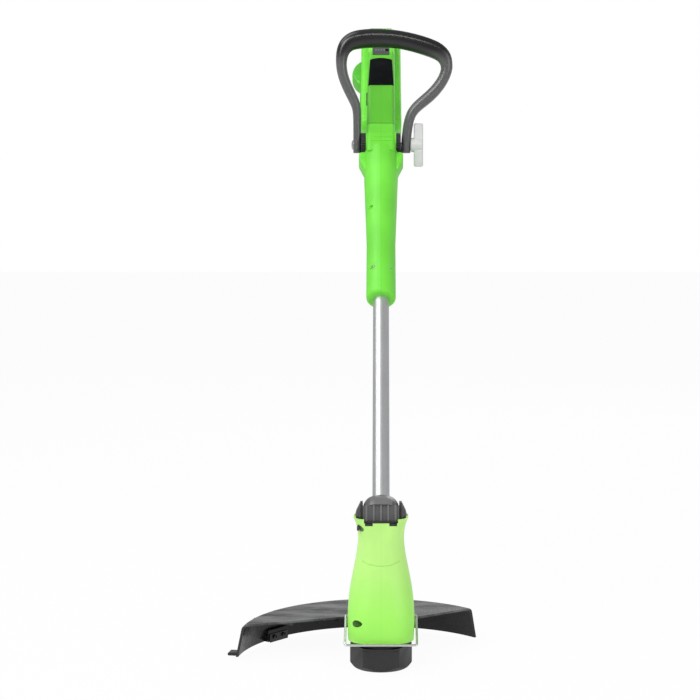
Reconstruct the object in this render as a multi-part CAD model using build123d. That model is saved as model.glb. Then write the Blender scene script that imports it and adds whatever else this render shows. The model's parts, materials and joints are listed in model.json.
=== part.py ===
from build123d import *

import os
from math import cos, radians, sin

# Cordless string trimmer in its working posture.
# Origin: centre of the spool cap's flat underside. +Z runs up the spool axis, +Y points back to the
# operator, +X is the right hand side seen from the front. All lengths are millimetres.
# Shaft frame: origin on the tilt pin, z along the shaft to the rear grip, y towards its underside.

# ---------------------------------------------------------------- fits
FIT = 0.05            # running fit of a pin or shaft in its bore, on the radius
GAP = 0.3             # space between pieces that don't bear on each other
SEAT = 0.3            # space of a piece to the one that carries it, where they aren't face to face

# ---------------------------------------------------------------- shaft and posture
LEAN = 45.0           # shaft from the vertical, degrees
PIVOT_Z = 188.0       # tilt pin above the spool cap's underside
TUBE_D = 22.0
TUBE_WALL = 1.2
TUBE_START = 12.0     # lower end of the tube, along the shaft
TUBE_END = 640.0
CABLE_D = 5.0
CABLE_START = -20.0

# ---------------------------------------------------------------- tilt joint
KNUCKLE_R = 28.0
KNUCKLE_W = 45.0
KNUCKLE_STEP = 2.4    # the dome stands this much proud of the barrel below its ledge
LEDGE_ANGLE = 42.0    # ledge on the front of the knuckle, from the vertical
BARREL_RIBS = 5
BARREL_RIB_W = 2.4
SOCKET_R = 15.0
SOCKET_END = 25.0
DOME_EDGE_R = 16.0      # the dome is rounded off at both ends
FORK_W = 67.0         # over the cheeks
CHEEK_R = 21.5
CHEEK_TOP_W = 2.8       # land at the top of each cheek
CHEEK_WAIST_X = 31.0    # half width where its slope steepens
CHEEK_WAIST_R = 10.5
FORK_FLOOR_Z = 146.0
FORK_FLOOR_TOP = 170.0
FORK_DEPTH = 22.0     # middle to the back face
FORK_FRONT = 29.0     # middle to the front of its legs
APRON_T = 1.6
PIN_D = 8.0
PIN_END_X = 29.0
LOCK_BUTTON_D = 13.0
LOCK_BUTTON_TRAVEL = 3.5
LOCK_BUTTON_Z = 153.0
LOCK_BUTTON_PROUD = 3.0
LOCK_STEM_D = 5.0
LOCK_SPRING_R = 4.0
LOCK_BORE_Y = 12.0

# ---------------------------------------------------------------- motor head
HEAD_BOTTOM_Z = 38.0
HEAD_TOP_Z = 192.0
HEAD_WALL = 2.6
HEAD_MAX_W = 83.0
HEAD_MAX_D = 88.0
HEAD_MAX_Z = 74.0
HEAD_FOOT_W = 82.0
HEAD_FOOT_D = 84.0
SHOULDER_W = 78.0
SHOULDER_D = 76.0
SHOULDER_Z = 100.0
WAIST_W = 61.0
WAIST_D = 62.0
WAIST_Z = 146.0
COLLAR_W = 68.0
COLLAR_D = 66.0
BACK_RIM_Z = 168.0    # the collar is cut down at the back to let the shaft swing
COLLAR_DIP = 5.0        # the collar is lower across its front
COLLAR_DIP_W = 42.0
APRON_LUG_W = 9.0
APRON_LUG_H = 3.2
APRON_LUG_X = 15.0
HEAD_SCREW_D = 4.0
HEAD_SCREW_HEAD_D = 7.0
HEAD_RECESS_D = 8.4
HEAD_SCREW_Y = 39.2
HEAD_BOSS_R = 5.3
HEAD_SCREW_Z = 63.0
HEAD_SCREW_FACE = 14.0    # the heads bear this far from the middle plane
COLLAR_SCREW_Y = -25.0
COLLAR_SCREW_Z = 180.0
COLLAR_SCREW_FACE = 27.5
COLLAR_BOSS_X = 25.5
VENT_W = 24.0
VENT_H = 3.0
VENT_PITCH = 7.0
VENT_COUNT = 4
VENT_Z = 104.0
CREASE_W = 46.0
CREASE_DROP = 5.0
CREASE_Z = 133.5
CREASE_DEPTH = 0.8
CREASE_T = 0.9

# ---------------------------------------------------------------- motor
MOTOR_D = 44.0
MOTOR_Z = 62.0
MOTOR_L = 58.0
MOTOR_WALL = 2.0
ROTOR_D = 34.0
ROTOR_L = 34.0
MOTOR_SHAFT_D = 6.0
BEARING_D = 16.0
BEARING_T = 5.0
PLATE_D = 58.0
PLATE_T = 3.0
FAN_D = 22.0
FAN_H = 9.0
FAN_BLADES = 9
FAN_BLADE_T = 1.2
END_CAP_H = 7.0
MOTOR_SCREW_R = 12.5
LEAD_D = 2.0
TERMINAL_X = 14.5

# ---------------------------------------------------------------- spool
SPOOL_R = 39.0
SPOOL_FLAT = 35.5     # centre to each finger flat
SPOOL_FLATS = 6
SPOOL_CAP_H = 30.0
SPOOL_WALL = 2.2
BASE_R = 37.0
BASE_Z = 31.0
BASE_T = 5.0
REEL_R = 33.0
REEL_HUB_R = 14.0
REEL_H = 22.0
REEL_Z = 4.0
REEL_FLANGE = 1.8
LINE_R = 30.0
SPOOL_SPRING_R = 9.0
SPOOL_SPRING_WIRE = 1.4
SPOOL_SPRING_TURNS = 4
EYELET_D = 7.0
EYELET_BORE = 3.0
EYELET_Z = 19.0
HUB_R = 10.0

# ---------------------------------------------------------------- guard
GUARD_R = 171.0
GUARD_X = -7.0        # its arc is struck a little left of the spool axis
GUARD_TOP_Z = 46.0
GUARD_FOOT_Z = 5.0
GUARD_WALL = 3.0
GUARD_FLARE = 8.0
GUARD_EDGE_R = 7.0
GUARD_THROAT_Y = 66.0
GUARD_LEFT_END = (-178.0, 22.0)
GUARD_RIGHT_END = (128.0, 120.0)
GUARD_RIBS = 7
GUARD_RIB_H = 3.0
GUARD_RIB_T = 2.0
GUARD_SADDLE_H = 16.0
GUARD_SADDLE_T = 4.0
GUARD_SCREW_X = 20.0
GUARD_SCREW_D = 4.0
GUARD_SCREW_Z = GUARD_TOP_Z + 6.0
FOOT_OUT = 12.0
FOOT_H = 4.0
CUTTER_ANGLE = 140.0
CUTTER_L = 34.0
CUTTER_H = 11.0
CUTTER_T = 1.5
CUTTER_SCREW_D = 3.0

# ---------------------------------------------------------------- edge guide
GUIDE_WIRE_D = 3.0
GUIDE_PIVOT_Z = 64.0
GUIDE_HALF_W = 44.4
GUIDE_FRONT_Y = -47.0
GUIDE_LOW_Z = 38.0
GUIDE_BEND_R = 9.0

# ---------------------------------------------------------------- sleeve and grip housing
SLEEVE_START = 365.0
SLEEVE_R = 20.6
SLEEVE_TOP_R = 25.0
SLEEVE_FLARE_START = 470.0
SLEEVE_END = 604.0
SHOULDER_START = 614.0
SHOULDER_END = 638.0
SHOULDER_LAND = 14.0
SHOULDER_HALF_D = 11.0
SLEEVE_REACH = 656.0    # the sleeve runs on under the loop handle's boss
SHOULDER_HALF_W = 33.0
LOOP_PIVOT_S = 678.0
GRIP_W = 42.0
GRIP_FRONT_Y = -21.0
GRIP_BACK_Y = 19.0
GRIP_EDGE_R = 7.5
GRIP_WALL = 3.0
REAR_END_S = 988.0
BATTERY_BODY_W = 65.0
BATTERY_BODY_Y0 = 62.0
BATTERY_BODY_Y1 = 116.0
BATTERY_BODY_S0 = 790.0
FINGER_S0 = 742.0
FINGER_S1 = 938.0
FINGER_CORNER_R = 17.0
SLEEVE_SCREWS_S = (412.0, 530.0)
SLEEVE_SCREW_N = 16.0
HOUSING_SCREW_D = 3.6
HOUSING_SCREW_HEAD_D = 6.6
HOUSING_SCREW_L = 22.0
BAND_GROOVES_S = (664.0, 672.0, 684.0)
BAND_GROOVE_W = 1.2
BAND_GROOVE_DEPTH = 0.8

# ---------------------------------------------------------------- loop handle
LOOP_DEPTH = 24.0
LOOP_LEG_T = 14.5
LOOP_LEFT_LEG_T = 12.0  # the leg without the knob is thinner
LOOP_INNER_HALF = 29.8
LOOP_FOOT_Z = -11.0
LOOP_EDGE_R = 5.8
LOOP_WIDTH_LEFT = 66.5
LOOP_WIDTH_RIGHT = 111.0
LOOP_HEIGHT = 172.0
LOOP_BAR_T = 24.0
LOOP_LIMB_T = 15.5
DISC_R = 18.0
DISC_T = 6.9
DISC_TEETH = 30
DISC_TOOTH = 1.3
BOLT_D = 8.0
BOLT_HEAD_D = 15.0
BOLT_HEAD_T = 5.5
KNOB_L = 65.0
KNOB_T = 12.0
KNOB_W = 16.0
KNOB_STANDOFF = 6.0   # its wings clear the swept right leg
KNOB_HUB_D = 22.0
KNOB_NUT_AF = 13.0
KNOB_NUT_T = 6.5

# ---------------------------------------------------------------- trigger group
TRIGGER_S0 = 752.0
TRIGGER_S1 = 800.0
TRIGGER_OUT = 14.0
TRIGGER_W = 17.0
TRIGGER_PIN_D = 4.0
SWITCH_L = 32.0
SWITCH_W = 16.0
SWITCH_H = 13.0
PLUNGER_H = 1.4
SPRING_WIRE = 0.8
TRIGGER_SPRING_R = 3.2
LOCK_OFF_S = 772.0
LOCK_OFF_L = 22.0
LOCK_OFF_H = 12.0
LOCK_OFF_PROUD = 1.6
LOCK_OFF_TRAVEL = 3.0
PAD_S0 = 790.0
PAD_S1 = 853.0
PAD_W0 = 39.0
PAD_W1 = 34.0
PAD_PROUD = 0.6
PAD_T = 2.6
GAUGE_S0 = 861.0
GAUGE_L = 18.0
GAUGE_W = 26.0
GAUGE_T = 3.0

# ---------------------------------------------------------------- battery
PACK_W = 59.0
PACK_H = 44.0
PACK_L = 112.0
PACK_CLEAR = 0.5
PACK_WALL = 1.6
PACK_PROUD = 4.0
CELL_D = 18.2
CELL_L = 65.0
BOARD_L = 52.0
BOARD_W = 46.0
BOARD_T = 1.6
BOARD_S = BATTERY_BODY_S0 + 20.0
TERMINAL_T = 9.0
LATCH_L = 56.0
LATCH_H = 24.0
LATCH_START = 23.0     # its bulge starts this far behind the pack's front face
LATCH_ARM = 35.0       # flush arm from the bulge down to the pin
LATCH_OUT = 14.0
LATCH_SLOT = 2.6
LATCH_PIN_D = 3.0

SHAFT = Plane(
    origin=(0, 0, PIVOT_Z),
    x_dir=(1, 0, 0),
    z_dir=(0, sin(radians(LEAN)), cos(radians(LEAN))),
)
LOOP_PIVOT = SHAFT.from_local_coords((0, 0, LOOP_PIVOT_S))
LOOP_PLANE = Plane(origin=LOOP_PIVOT, x_dir=(1, 0, 0), z_dir=(0, -1, 0))


# ---------------------------------------------------------------- helpers
def in_shaft(shape):
    """Move a shape from the shaft frame to the object's frame."""
    return SHAFT.location * shape


def block(x, y, z):
    """Box between the given (low, high) pairs."""
    centre = [(low + high) / 2 for low, high in (x, y, z)]
    return Pos(*centre) * Box(x[1] - x[0], y[1] - y[0], z[1] - z[0])


def disc(radius, low, high, at=(0, 0), axis="Z"):
    """Cylinder from low to high along an axis, centred on the other two coordinates."""
    body = Pos(0, 0, (low + high) / 2) * Cylinder(radius, high - low)
    if axis == "X":
        return Pos(0, at[0], at[1]) * (Rot(0, 90, 0) * body)
    if axis == "Y":
        return Pos(at[0], 0, at[1]) * (Rot(-90, 0, 0) * body)
    return Pos(at[0], at[1], 0) * body


def ring(outer, inner, low, high, at=(0, 0), axis="Z"):
    """Tube from low to high along an axis."""
    return disc(outer, low, high, at, axis) - disc(inner, low - 1, high + 1, at, axis)


def coil(radius, wire, height, turns):
    """Compression spring drawn as a stack of closed rings tied by a thin upright."""
    pitch = (height - wire) / turns
    spring = Pos(radius, 0, height / 2) * Cylinder(wire * 0.35, height - wire)
    for turn in range(turns + 1):
        spring += Pos(0, 0, wire / 2 + turn * pitch) * Torus(radius, wire / 2)
    return spring


def left_half(shape, reach=300):
    """Part of a shape at negative X."""
    box = shape.bounding_box()
    side = block((-reach, 0), (box.min.Y - 1, box.max.Y + 1), (box.min.Z - 1, box.max.Z + 1))
    return shape & side


def right_half(shape, reach=300):
    """Part of a shape at positive X."""
    box = shape.bounding_box()
    side = block((0, reach), (box.min.Y - 1, box.max.Y + 1), (box.min.Z - 1, box.max.Z + 1))
    return shape & side


def rounded_outline(points, radii):
    """Closed face from corner points, each with its own fillet radius (0 leaves it sharp)."""
    face = make_face(Polyline(*points, close=True))
    for point, radius in zip(points, radii):
        if radius:
            corner = face.vertices().sort_by_distance(Vector(point[0], point[1], 0))[0]
            face = fillet(corner, radius)
    return face


def side_plate(outline, half_width, edge_radius):
    """Extrude a (y, s) outline to both sides of the middle plane and round its rims."""
    body = extrude(Plane.YZ * outline, half_width, both=True)
    if edge_radius:
        rims = body.faces().filter_by(Axis.X).edges()
        body = fillet(rims, edge_radius)
    return body


# ---------------------------------------------------------------- shaft
def shaft_tube():
    tube = ring(TUBE_D / 2, TUBE_D / 2 - TUBE_WALL, TUBE_START, TUBE_END)
    return in_shaft(tube)


def cable_lie():
    """Distance of the lead's axis from the tube's axis, on its underside."""
    return TUBE_D / 2 - TUBE_WALL - CABLE_D / 2 - SEAT


def cable_path(start):
    """Route of the lead in the shaft frame: along the tube, past the loop's bolt, to the board."""
    lie = cable_lie()
    middle = (BATTERY_BODY_Y0 + GRIP_BACK_Y) / 2
    return FilletPolyline(
        (0, lie, start), (0, lie, LOOP_PIVOT_S + 26), (0, middle + 12, FINGER_S0 + 2),
        (0, board_y() + CABLE_D / 2, BOARD_S - 16), (0, board_y() + CABLE_D / 2, BOARD_S - SEAT),
        radius=(34, 30, 12))


def power_cable():
    """Two-core lead from the knuckle through the tube to the control board."""
    path = cable_path(CABLE_START)
    section = Plane(origin=path @ 0, z_dir=path % 0) * Circle(CABLE_D / 2)
    return in_shaft(sweep(section, path=path))


def cable_channel():
    """Way of the lead through the housing, above the tube's end."""
    path = cable_path(TUBE_END - 1)
    section = Plane(origin=path @ 0, z_dir=path % 0) * Circle(CABLE_D / 2 + 0.5)
    return sweep(section, path=path)


def clamp_block(grow):
    """Envelope of the lead's saddle, in the shaft frame."""
    lie = cable_lie()
    return block((-7 - grow, 7 + grow), (lie - 5 - grow, lie + 5 + grow),
                 (TUBE_END + 1 - grow, TUBE_END + 7 + grow))


def cable_clamp():
    """Saddle inside the housing that grips the lead just above the tube's end."""
    hole = disc(CABLE_D / 2 + FIT, TUBE_END, TUBE_END + 8, at=(0, cable_lie()))
    return in_shaft(clamp_block(0) - hole)


# ---------------------------------------------------------------- tilt joint
def knuckle():
    """Barrel on the tube's lower end: dome above, ribbed barrel in front below its ledge."""
    half = KNUCKLE_W / 2
    centre = Pos(0, 0, PIVOT_Z)
    barrel = disc(KNUCKLE_R - KNUCKLE_STEP, -half, half, at=(0, PIVOT_Z), axis="X")
    for index in range(BARREL_RIBS):
        x = (index - (BARREL_RIBS - 1) / 2) * KNUCKLE_W / BARREL_RIBS
        barrel += disc(KNUCKLE_R - KNUCKLE_STEP / 2, x - BARREL_RIB_W / 2, x + BARREL_RIB_W / 2,
                       at=(0, PIVOT_Z), axis="X")
    dome = disc(KNUCKLE_R, -half, half, at=(0, PIVOT_Z), axis="X")
    dome = fillet(dome.edges().filter_by(GeomType.CIRCLE), DOME_EDGE_R)
    reach = 2 * KNUCKLE_R
    below = centre * block((-half - 1, half + 1), (-reach, 0), (-reach, 0))
    under_ledge = centre * (Rot(LEDGE_ANGLE, 0, 0) * block((-half - 1, half + 1), (-reach, 0), (0, reach)))
    lower = below + under_ledge
    body = (barrel & lower) + (dome - lower) + in_shaft(disc(SOCKET_R, 0, SOCKET_END))
    body -= in_shaft(disc(TUBE_D / 2 + FIT, TUBE_START, SOCKET_END + 5))
    body -= in_shaft(disc(CABLE_D / 2 + FIT, -reach, TUBE_START + 1, at=(0, cable_lie())))
    body -= disc(PIN_D / 2 + FIT, -half - 1, half + 1, at=(0, PIVOT_Z), axis="X")
    return body


def fork_cheek(inner):
    """Right cheek of the yoke: a round plate that slopes away from its rim."""
    profile = make_face(Polyline(
        (inner, 0), (inner, CHEEK_R), (inner + CHEEK_TOP_W, CHEEK_R),
        (CHEEK_WAIST_X, CHEEK_WAIST_R), (FORK_W / 2, 1), (FORK_W / 2, 0), close=True))
    return Pos(0, 0, PIVOT_Z) * revolve(Plane.XZ * profile, Axis.X)


def fork():
    """Black yoke in the collar of the head: two cheeks, a floor and the front apron with its lugs."""
    inner = KNUCKLE_W / 2 + GAP
    flush = COLLAR_W / 2 - HEAD_WALL - GAP
    cheek = fork_cheek(inner)
    cheek -= block((flush, FORK_W), (-FORK_W, FORK_W), (0, HEAD_TOP_Z + GAP))
    leg = block((inner, flush), (-FORK_FRONT, FORK_DEPTH), (FORK_FLOOR_Z, PIVOT_Z - 2))
    side = cheek + leg
    reach = KNUCKLE_R + GAP + 0.1
    front = -COLLAR_D / 2 + HEAD_WALL + GAP
    floor = block((-inner - 1, inner + 1), (front, FORK_DEPTH), (FORK_FLOOR_Z, FORK_FLOOR_TOP))
    apron = block((-inner - 1, inner + 1), (front, front + APRON_T), (FORK_FLOOR_Z, HEAD_TOP_Z - COLLAR_DIP / 2))
    body = side + side.mirror(Plane.YZ) + floor + apron
    body = body - disc(reach, -inner, inner, at=(0, PIVOT_Z), axis="X")
    inside = loft(list(head_sections(HEAD_WALL + GAP)))
    above = block((-FORK_W, FORK_W), (-FORK_W, FORK_W), (HEAD_TOP_Z, HEAD_TOP_Z + FORK_W))
    body = (body & inside) + (body & above)
    lug_top = HEAD_TOP_Z - COLLAR_DIP
    for x in (-APRON_LUG_X, APRON_LUG_X):
        body += block((x - APRON_LUG_W / 2, x + APRON_LUG_W / 2), (-COLLAR_D / 2 + 0.6, front + APRON_T),
                      (lug_top - APRON_LUG_H + GAP, lug_top - 0.4))
    body -= disc(PIN_D / 2 + FIT, -FORK_W, FORK_W, at=(0, PIVOT_Z), axis="X")
    body -= disc(CABLE_D / 2 + 2, FORK_FLOOR_Z - 1, PIVOT_Z)
    body -= disc(LOCK_STEM_D / 2 + FIT, 0, FORK_W, at=(0, LOCK_BUTTON_Z), axis="Y")
    body -= disc(LOCK_SPRING_R + 1.4, LOCK_BORE_Y, FORK_W, at=(0, LOCK_BUTTON_Z), axis="Y")
    body -= disc(LOCK_BUTTON_D / 2 + GAP, FORK_DEPTH - LOCK_BUTTON_TRAVEL, FORK_W,
                 at=(0, LOCK_BUTTON_Z), axis="Y")
    screw = (COLLAR_SCREW_Y, COLLAR_SCREW_Z)
    body -= disc(HEAD_SCREW_D / 2, -FORK_W, 0, at=screw, axis="X")
    body -= disc(HEAD_BOSS_R + GAP, -FORK_W, GAP - COLLAR_BOSS_X, at=screw, axis="X")
    return body


def tilt_pin():
    """Cross pin, held in by the collar's walls."""
    pin = disc(PIN_D / 2, -PIN_END_X, PIN_END_X, at=(0, PIVOT_Z), axis="X")
    return chamfer(pin.edges().filter_by(GeomType.CIRCLE), 0.6)


# ---------------------------------------------------------------- motor head
def head_sections(inset):
    """Rounded sections of the motor head from its foot to its collar, inset by a wall."""
    stations = (
        (HEAD_BOTTOM_Z, HEAD_FOOT_W, HEAD_FOOT_D, 26.0),
        (HEAD_MAX_Z, HEAD_MAX_W, HEAD_MAX_D, 30.0),
        (SHOULDER_Z, SHOULDER_W, SHOULDER_D, 32.0),
        (WAIST_Z, WAIST_W, WAIST_D, 27.0),
        (HEAD_TOP_Z, COLLAR_W, COLLAR_D, 16.0),
    )
    for height, width, depth, corner in stations:
        outline = RectangleRounded(width - 2 * inset, depth - 2 * inset, corner - inset)
        yield Pos(0, 0, height) * outline


def head_cut():
    """What is cut from the head's collar: the shaft's swing at the back and the apron's notches."""
    back = block((-COLLAR_W, COLLAR_W), (8, COLLAR_D), (BACK_RIM_Z, HEAD_TOP_Z + 5))
    back = fillet(back.edges().filter_by(Axis.X).sort_by(Axis.Z)[:1], 6.0)
    front = block((-COLLAR_DIP_W / 2, COLLAR_DIP_W / 2), (-COLLAR_D, 0),
                  (HEAD_TOP_Z - COLLAR_DIP, HEAD_TOP_Z + 5))
    for x in (-APRON_LUG_X, APRON_LUG_X):
        front += block((x - APRON_LUG_W / 2 - GAP, x + APRON_LUG_W / 2 + GAP), (-COLLAR_D, 0),
                       (HEAD_TOP_Z - COLLAR_DIP - APRON_LUG_H, HEAD_TOP_Z))
    return back + front


def head_screw_places():
    """(y, z, inner end) of each head screw: two long ones below, a short one into the fork above."""
    deep = HEAD_SCREW_FACE - 3
    return (
        (-HEAD_SCREW_Y, HEAD_SCREW_Z, -HEAD_SCREW_FACE, deep),
        (HEAD_SCREW_Y, HEAD_SCREW_Z, -HEAD_SCREW_FACE, deep),
        (COLLAR_SCREW_Y, COLLAR_SCREW_Z, -COLLAR_SCREW_FACE, -KNUCKLE_W / 2 - 2 * GAP),
    )


def motor_housing():
    """Two green mouldings that meet on the middle plane, open at the foot and the collar."""
    outer = loft(list(head_sections(0)))
    shell = outer - loft(list(head_sections(HEAD_WALL)))
    for y in (-HEAD_SCREW_Y, HEAD_SCREW_Y):
        shell += outer & disc(HEAD_BOSS_R, -HEAD_MAX_W / 2, HEAD_SCREW_FACE,
                              at=(y, HEAD_SCREW_Z), axis="X")
    shell += outer & disc(HEAD_BOSS_R, -HEAD_MAX_W / 2, -COLLAR_BOSS_X,
                          at=(COLLAR_SCREW_Y, COLLAR_SCREW_Z), axis="X")
    seat = HEAD_MAX_W
    ledge = disc(seat, MOTOR_Z - PLATE_T - 3.3, MOTOR_Z - PLATE_T - SEAT) & outer
    shell += ledge - disc(PLATE_D / 2 - 4, 0, MOTOR_Z)
    for z in (MOTOR_Z + 14, MOTOR_Z + MOTOR_L - 10):
        web = disc(seat, z, z + 2.5) & outer
        shell += web - disc(MOTOR_D / 2 + SEAT, z - 1, z + 4)
    shell -= head_cut()
    for y, z, face, end in head_screw_places():
        shell -= disc(HEAD_SCREW_D / 2, face - 1, end + 1, at=(y, z), axis="X")
        shell -= disc(HEAD_RECESS_D / 2, -HEAD_MAX_W, face, at=(y, z), axis="X")
    for side in (-1, 1):
        shell -= disc(GUIDE_WIRE_D / 2 + FIT, *sorted((side * 60, side * 30)),
                      at=(0, GUIDE_PIVOT_Z), axis="X")
        shell -= disc(GUARD_SCREW_D / 2, HEAD_MAX_D / 2 - 10, 60,
                      at=(side * GUARD_SCREW_X, GUARD_SCREW_Z), axis="Y")
    shell -= disc(LOCK_BUTTON_D / 2 + GAP, FORK_DEPTH, 60, at=(0, LOCK_BUTTON_Z), axis="Y")
    for index in range(VENT_COUNT):
        low = VENT_Z + index * VENT_PITCH
        shell -= block((-VENT_W / 2, VENT_W / 2), (MOTOR_D / 2, 60), (low, low + VENT_H))
    shell -= crease() & (outer - loft(list(head_sections(CREASE_DEPTH))))
    return left_half(shell), right_half(shell)


def crease():
    """Band of the U-shaped parting line, projected through the front of the head."""
    half = CREASE_W / 2
    line = ThreePointArc((-half, CREASE_Z + CREASE_DROP), (0, CREASE_Z), (half, CREASE_Z + CREASE_DROP))
    return extrude(Plane.XZ * trace(line, CREASE_T), HEAD_MAX_D)


def head_screws():
    """Screws of the motor head, driven in from the left."""
    group = Part()
    for y, z, face, end in head_screw_places():
        group += disc(HEAD_SCREW_D / 2 - FIT, face, end, at=(y, z), axis="X")
        group += disc(HEAD_SCREW_HEAD_D / 2, face - 2.4, face, at=(y, z), axis="X")
    return group


# ---------------------------------------------------------------- motor
def motor_can():
    """Steel can with a closed lower face that carries the output bearing."""
    can = disc(MOTOR_D / 2, MOTOR_Z, MOTOR_Z + MOTOR_L)
    can = fillet(can.edges().sort_by(Axis.Z)[:1], 2.0)
    can -= disc(MOTOR_D / 2 - MOTOR_WALL, MOTOR_Z + 3, MOTOR_Z + MOTOR_L + 1)
    can += disc(BEARING_D / 2 + 2, MOTOR_Z, MOTOR_Z + BEARING_T + 1)
    can -= disc(BEARING_D / 2, MOTOR_Z + 1, MOTOR_Z + BEARING_T + 2)
    can -= disc(MOTOR_SHAFT_D / 2 + 1, MOTOR_Z - 1, MOTOR_Z + 2)
    for angle in (45, 225):
        x, y = MOTOR_SCREW_R * cos(radians(angle)), MOTOR_SCREW_R * sin(radians(angle))
        can -= disc(1.6, MOTOR_Z - 1, MOTOR_Z + 4, at=(x, y))
    return can


def motor_magnets():
    """Two arc magnets against the can's wall."""
    outer = MOTOR_D / 2 - MOTOR_WALL
    shell = ring(outer, ROTOR_D / 2 + 0.8, MOTOR_Z + 8, MOTOR_Z + MOTOR_L - 6)
    gap = block((-30, 30), (-4, 4), (MOTOR_Z, MOTOR_Z + MOTOR_L))
    return shell - gap


def motor_end_cap():
    """Plastic end bell with the upper bearing seat and two terminals."""
    low = MOTOR_Z + MOTOR_L
    cap = disc(MOTOR_D / 2, low, low + END_CAP_H)
    cap = chamfer(cap.edges().sort_by(Axis.Z)[-1:], 1.5)
    cap -= disc(BEARING_D / 2, low - 1, low + BEARING_T)
    cap -= disc(MOTOR_SHAFT_D / 2 + 1, low, low + END_CAP_H + 1)
    for x in (-TERMINAL_X, TERMINAL_X):
        cap += block((x - 2.5, x + 2.5), (-0.5, 0.5), (low + END_CAP_H - 1, low + END_CAP_H + 5))
    return cap


def motor_leads():
    """Two wires from the motor's terminals up through the fork's floor."""
    start = MOTOR_Z + MOTOR_L + END_CAP_H + 5 + SEAT
    end = PIVOT_Z - KNUCKLE_R - 1.0
    group = Part()
    for side in (-1, 1):
        path = FilletPolyline(
            (side * TERMINAL_X, 0, start), (side * TERMINAL_X, 0, start + 5),
            (side * 2.0, 0, FORK_FLOOR_Z - 1), (side * 2.0, 0, end), radius=(2.5, 2.5))
        group += sweep(Plane(origin=path @ 0, z_dir=path % 0) * Circle(LEAD_D / 2), path=path)
    return group


def bearing(low):
    """Ball bearing drawn as one closed ring."""
    body = ring(BEARING_D / 2 - FIT, MOTOR_SHAFT_D / 2 + FIT, low, low + BEARING_T)
    return chamfer(body.edges().filter_by(GeomType.CIRCLE), 0.3)


def rotor():
    """Armature on its output shaft, which runs down to the drive hub."""
    start = MOTOR_Z + 12
    stack = disc(ROTOR_D / 2, start, start + ROTOR_L)
    slots = 10
    for index in range(slots):
        angle = 360 / slots * index
        stack -= Rot(0, 0, angle) * block((ROTOR_D / 2 - 3, ROTOR_D), (-0.9, 0.9), (start - 1, start + ROTOR_L + 1))
    shaft = disc(MOTOR_SHAFT_D / 2, HUB_LOW_Z, MOTOR_Z + MOTOR_L + END_CAP_H + FAN_H + 2)
    return stack + shaft


def cooling_fan():
    """Radial fan on the shaft above the end bell."""
    low = MOTOR_Z + MOTOR_L + END_CAP_H + 1
    fan = disc(6, low, low + FAN_H) + disc(FAN_D / 2, low, low + 1.5)
    blade = block((4, FAN_D / 2), (-FAN_BLADE_T / 2, FAN_BLADE_T / 2), (low, low + FAN_H))
    for index in range(FAN_BLADES):
        fan += Rot(0, 0, 360 / FAN_BLADES * index) * blade
    return fan - disc(MOTOR_SHAFT_D / 2 + FIT, low - 1, low + FAN_H + 1)


def mounting_plate():
    """Steel disc that carries the motor on the ledge of the housing."""
    plate = disc(PLATE_D / 2, MOTOR_Z - PLATE_T, MOTOR_Z)
    plate -= disc(BEARING_D / 2, MOTOR_Z - PLATE_T - 1, MOTOR_Z + 1)
    for angle in (45, 225):
        x, y = MOTOR_SCREW_R * cos(radians(angle)), MOTOR_SCREW_R * sin(radians(angle))
        plate -= disc(1.6, MOTOR_Z - PLATE_T - 1, MOTOR_Z + 1, at=(x, y))
    return plate


def motor_screws():
    """Two screws that hold the motor to its plate."""
    group = Part()
    for angle in (45, 225):
        x, y = MOTOR_SCREW_R * cos(radians(angle)), MOTOR_SCREW_R * sin(radians(angle))
        group += disc(1.5, MOTOR_Z - PLATE_T, MOTOR_Z + 3, at=(x, y))
        group += disc(2.8, MOTOR_Z - PLATE_T - 2, MOTOR_Z - PLATE_T, at=(x, y))
    return group


# ---------------------------------------------------------------- spool
HUB_LOW_Z = REEL_Z + REEL_H + 2.0
HUB_HIGH_Z = MOTOR_Z - PLATE_T - 4.0


def drive_hub():
    """Moulded hub on the motor shaft: a round neck with a square that drives the spool base."""
    neck = disc(HUB_R, BASE_Z + BASE_T, HUB_HIGH_Z)
    neck = chamfer(neck.edges().sort_by(Axis.Z)[-1:], 1.0)
    square = block((-7, 7), (-7, 7), (BASE_Z, BASE_Z + BASE_T))
    return neck + square - disc(MOTOR_SHAFT_D / 2 + FIT, BASE_Z - 1, HUB_HIGH_Z + 1)


def spool_base():
    """Ring above the cap, with the rim that the cap snaps on."""
    base = disc(BASE_R, BASE_Z, BASE_Z + BASE_T)
    base = chamfer(base.edges().sort_by(Axis.Z)[-1:], 1.2)
    spigot = SPOOL_FLAT - SPOOL_WALL - SEAT
    base += ring(spigot, spigot - 2.0, BASE_Z - 4.0, BASE_Z)
    return base - block((-7, 7), (-7, 7), (BASE_Z - 5, BASE_Z + BASE_T + 1))


def spool_cap():
    """Cup with six finger flats, a chamfered foot and a line port at each side."""
    top = BASE_Z - SEAT
    cup = disc(SPOOL_R, 0, top)
    cup = chamfer(cup.edges().filter_by(GeomType.CIRCLE).sort_by(Axis.Z)[:1], 5.5)
    for index in range(SPOOL_FLATS):
        flat = block((-SPOOL_R, SPOOL_R), (SPOOL_FLAT, SPOOL_R + 5), (-1, SPOOL_CAP_H - 3.0))
        cup -= Rot(0, 0, 360 / SPOOL_FLATS * index) * flat
    cup -= disc(SPOOL_FLAT - SPOOL_WALL, SPOOL_WALL, top + 1)
    cup += ring(SPOOL_SPRING_R + 2.8, SPOOL_SPRING_R + 1.4, 1.0, 5.0)
    for side in (-1, 1):
        cup -= disc(EYELET_D / 2 + FIT, min(0, side * 50), max(0, side * 50), at=(0, EYELET_Z), axis="X")
    return cup


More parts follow.
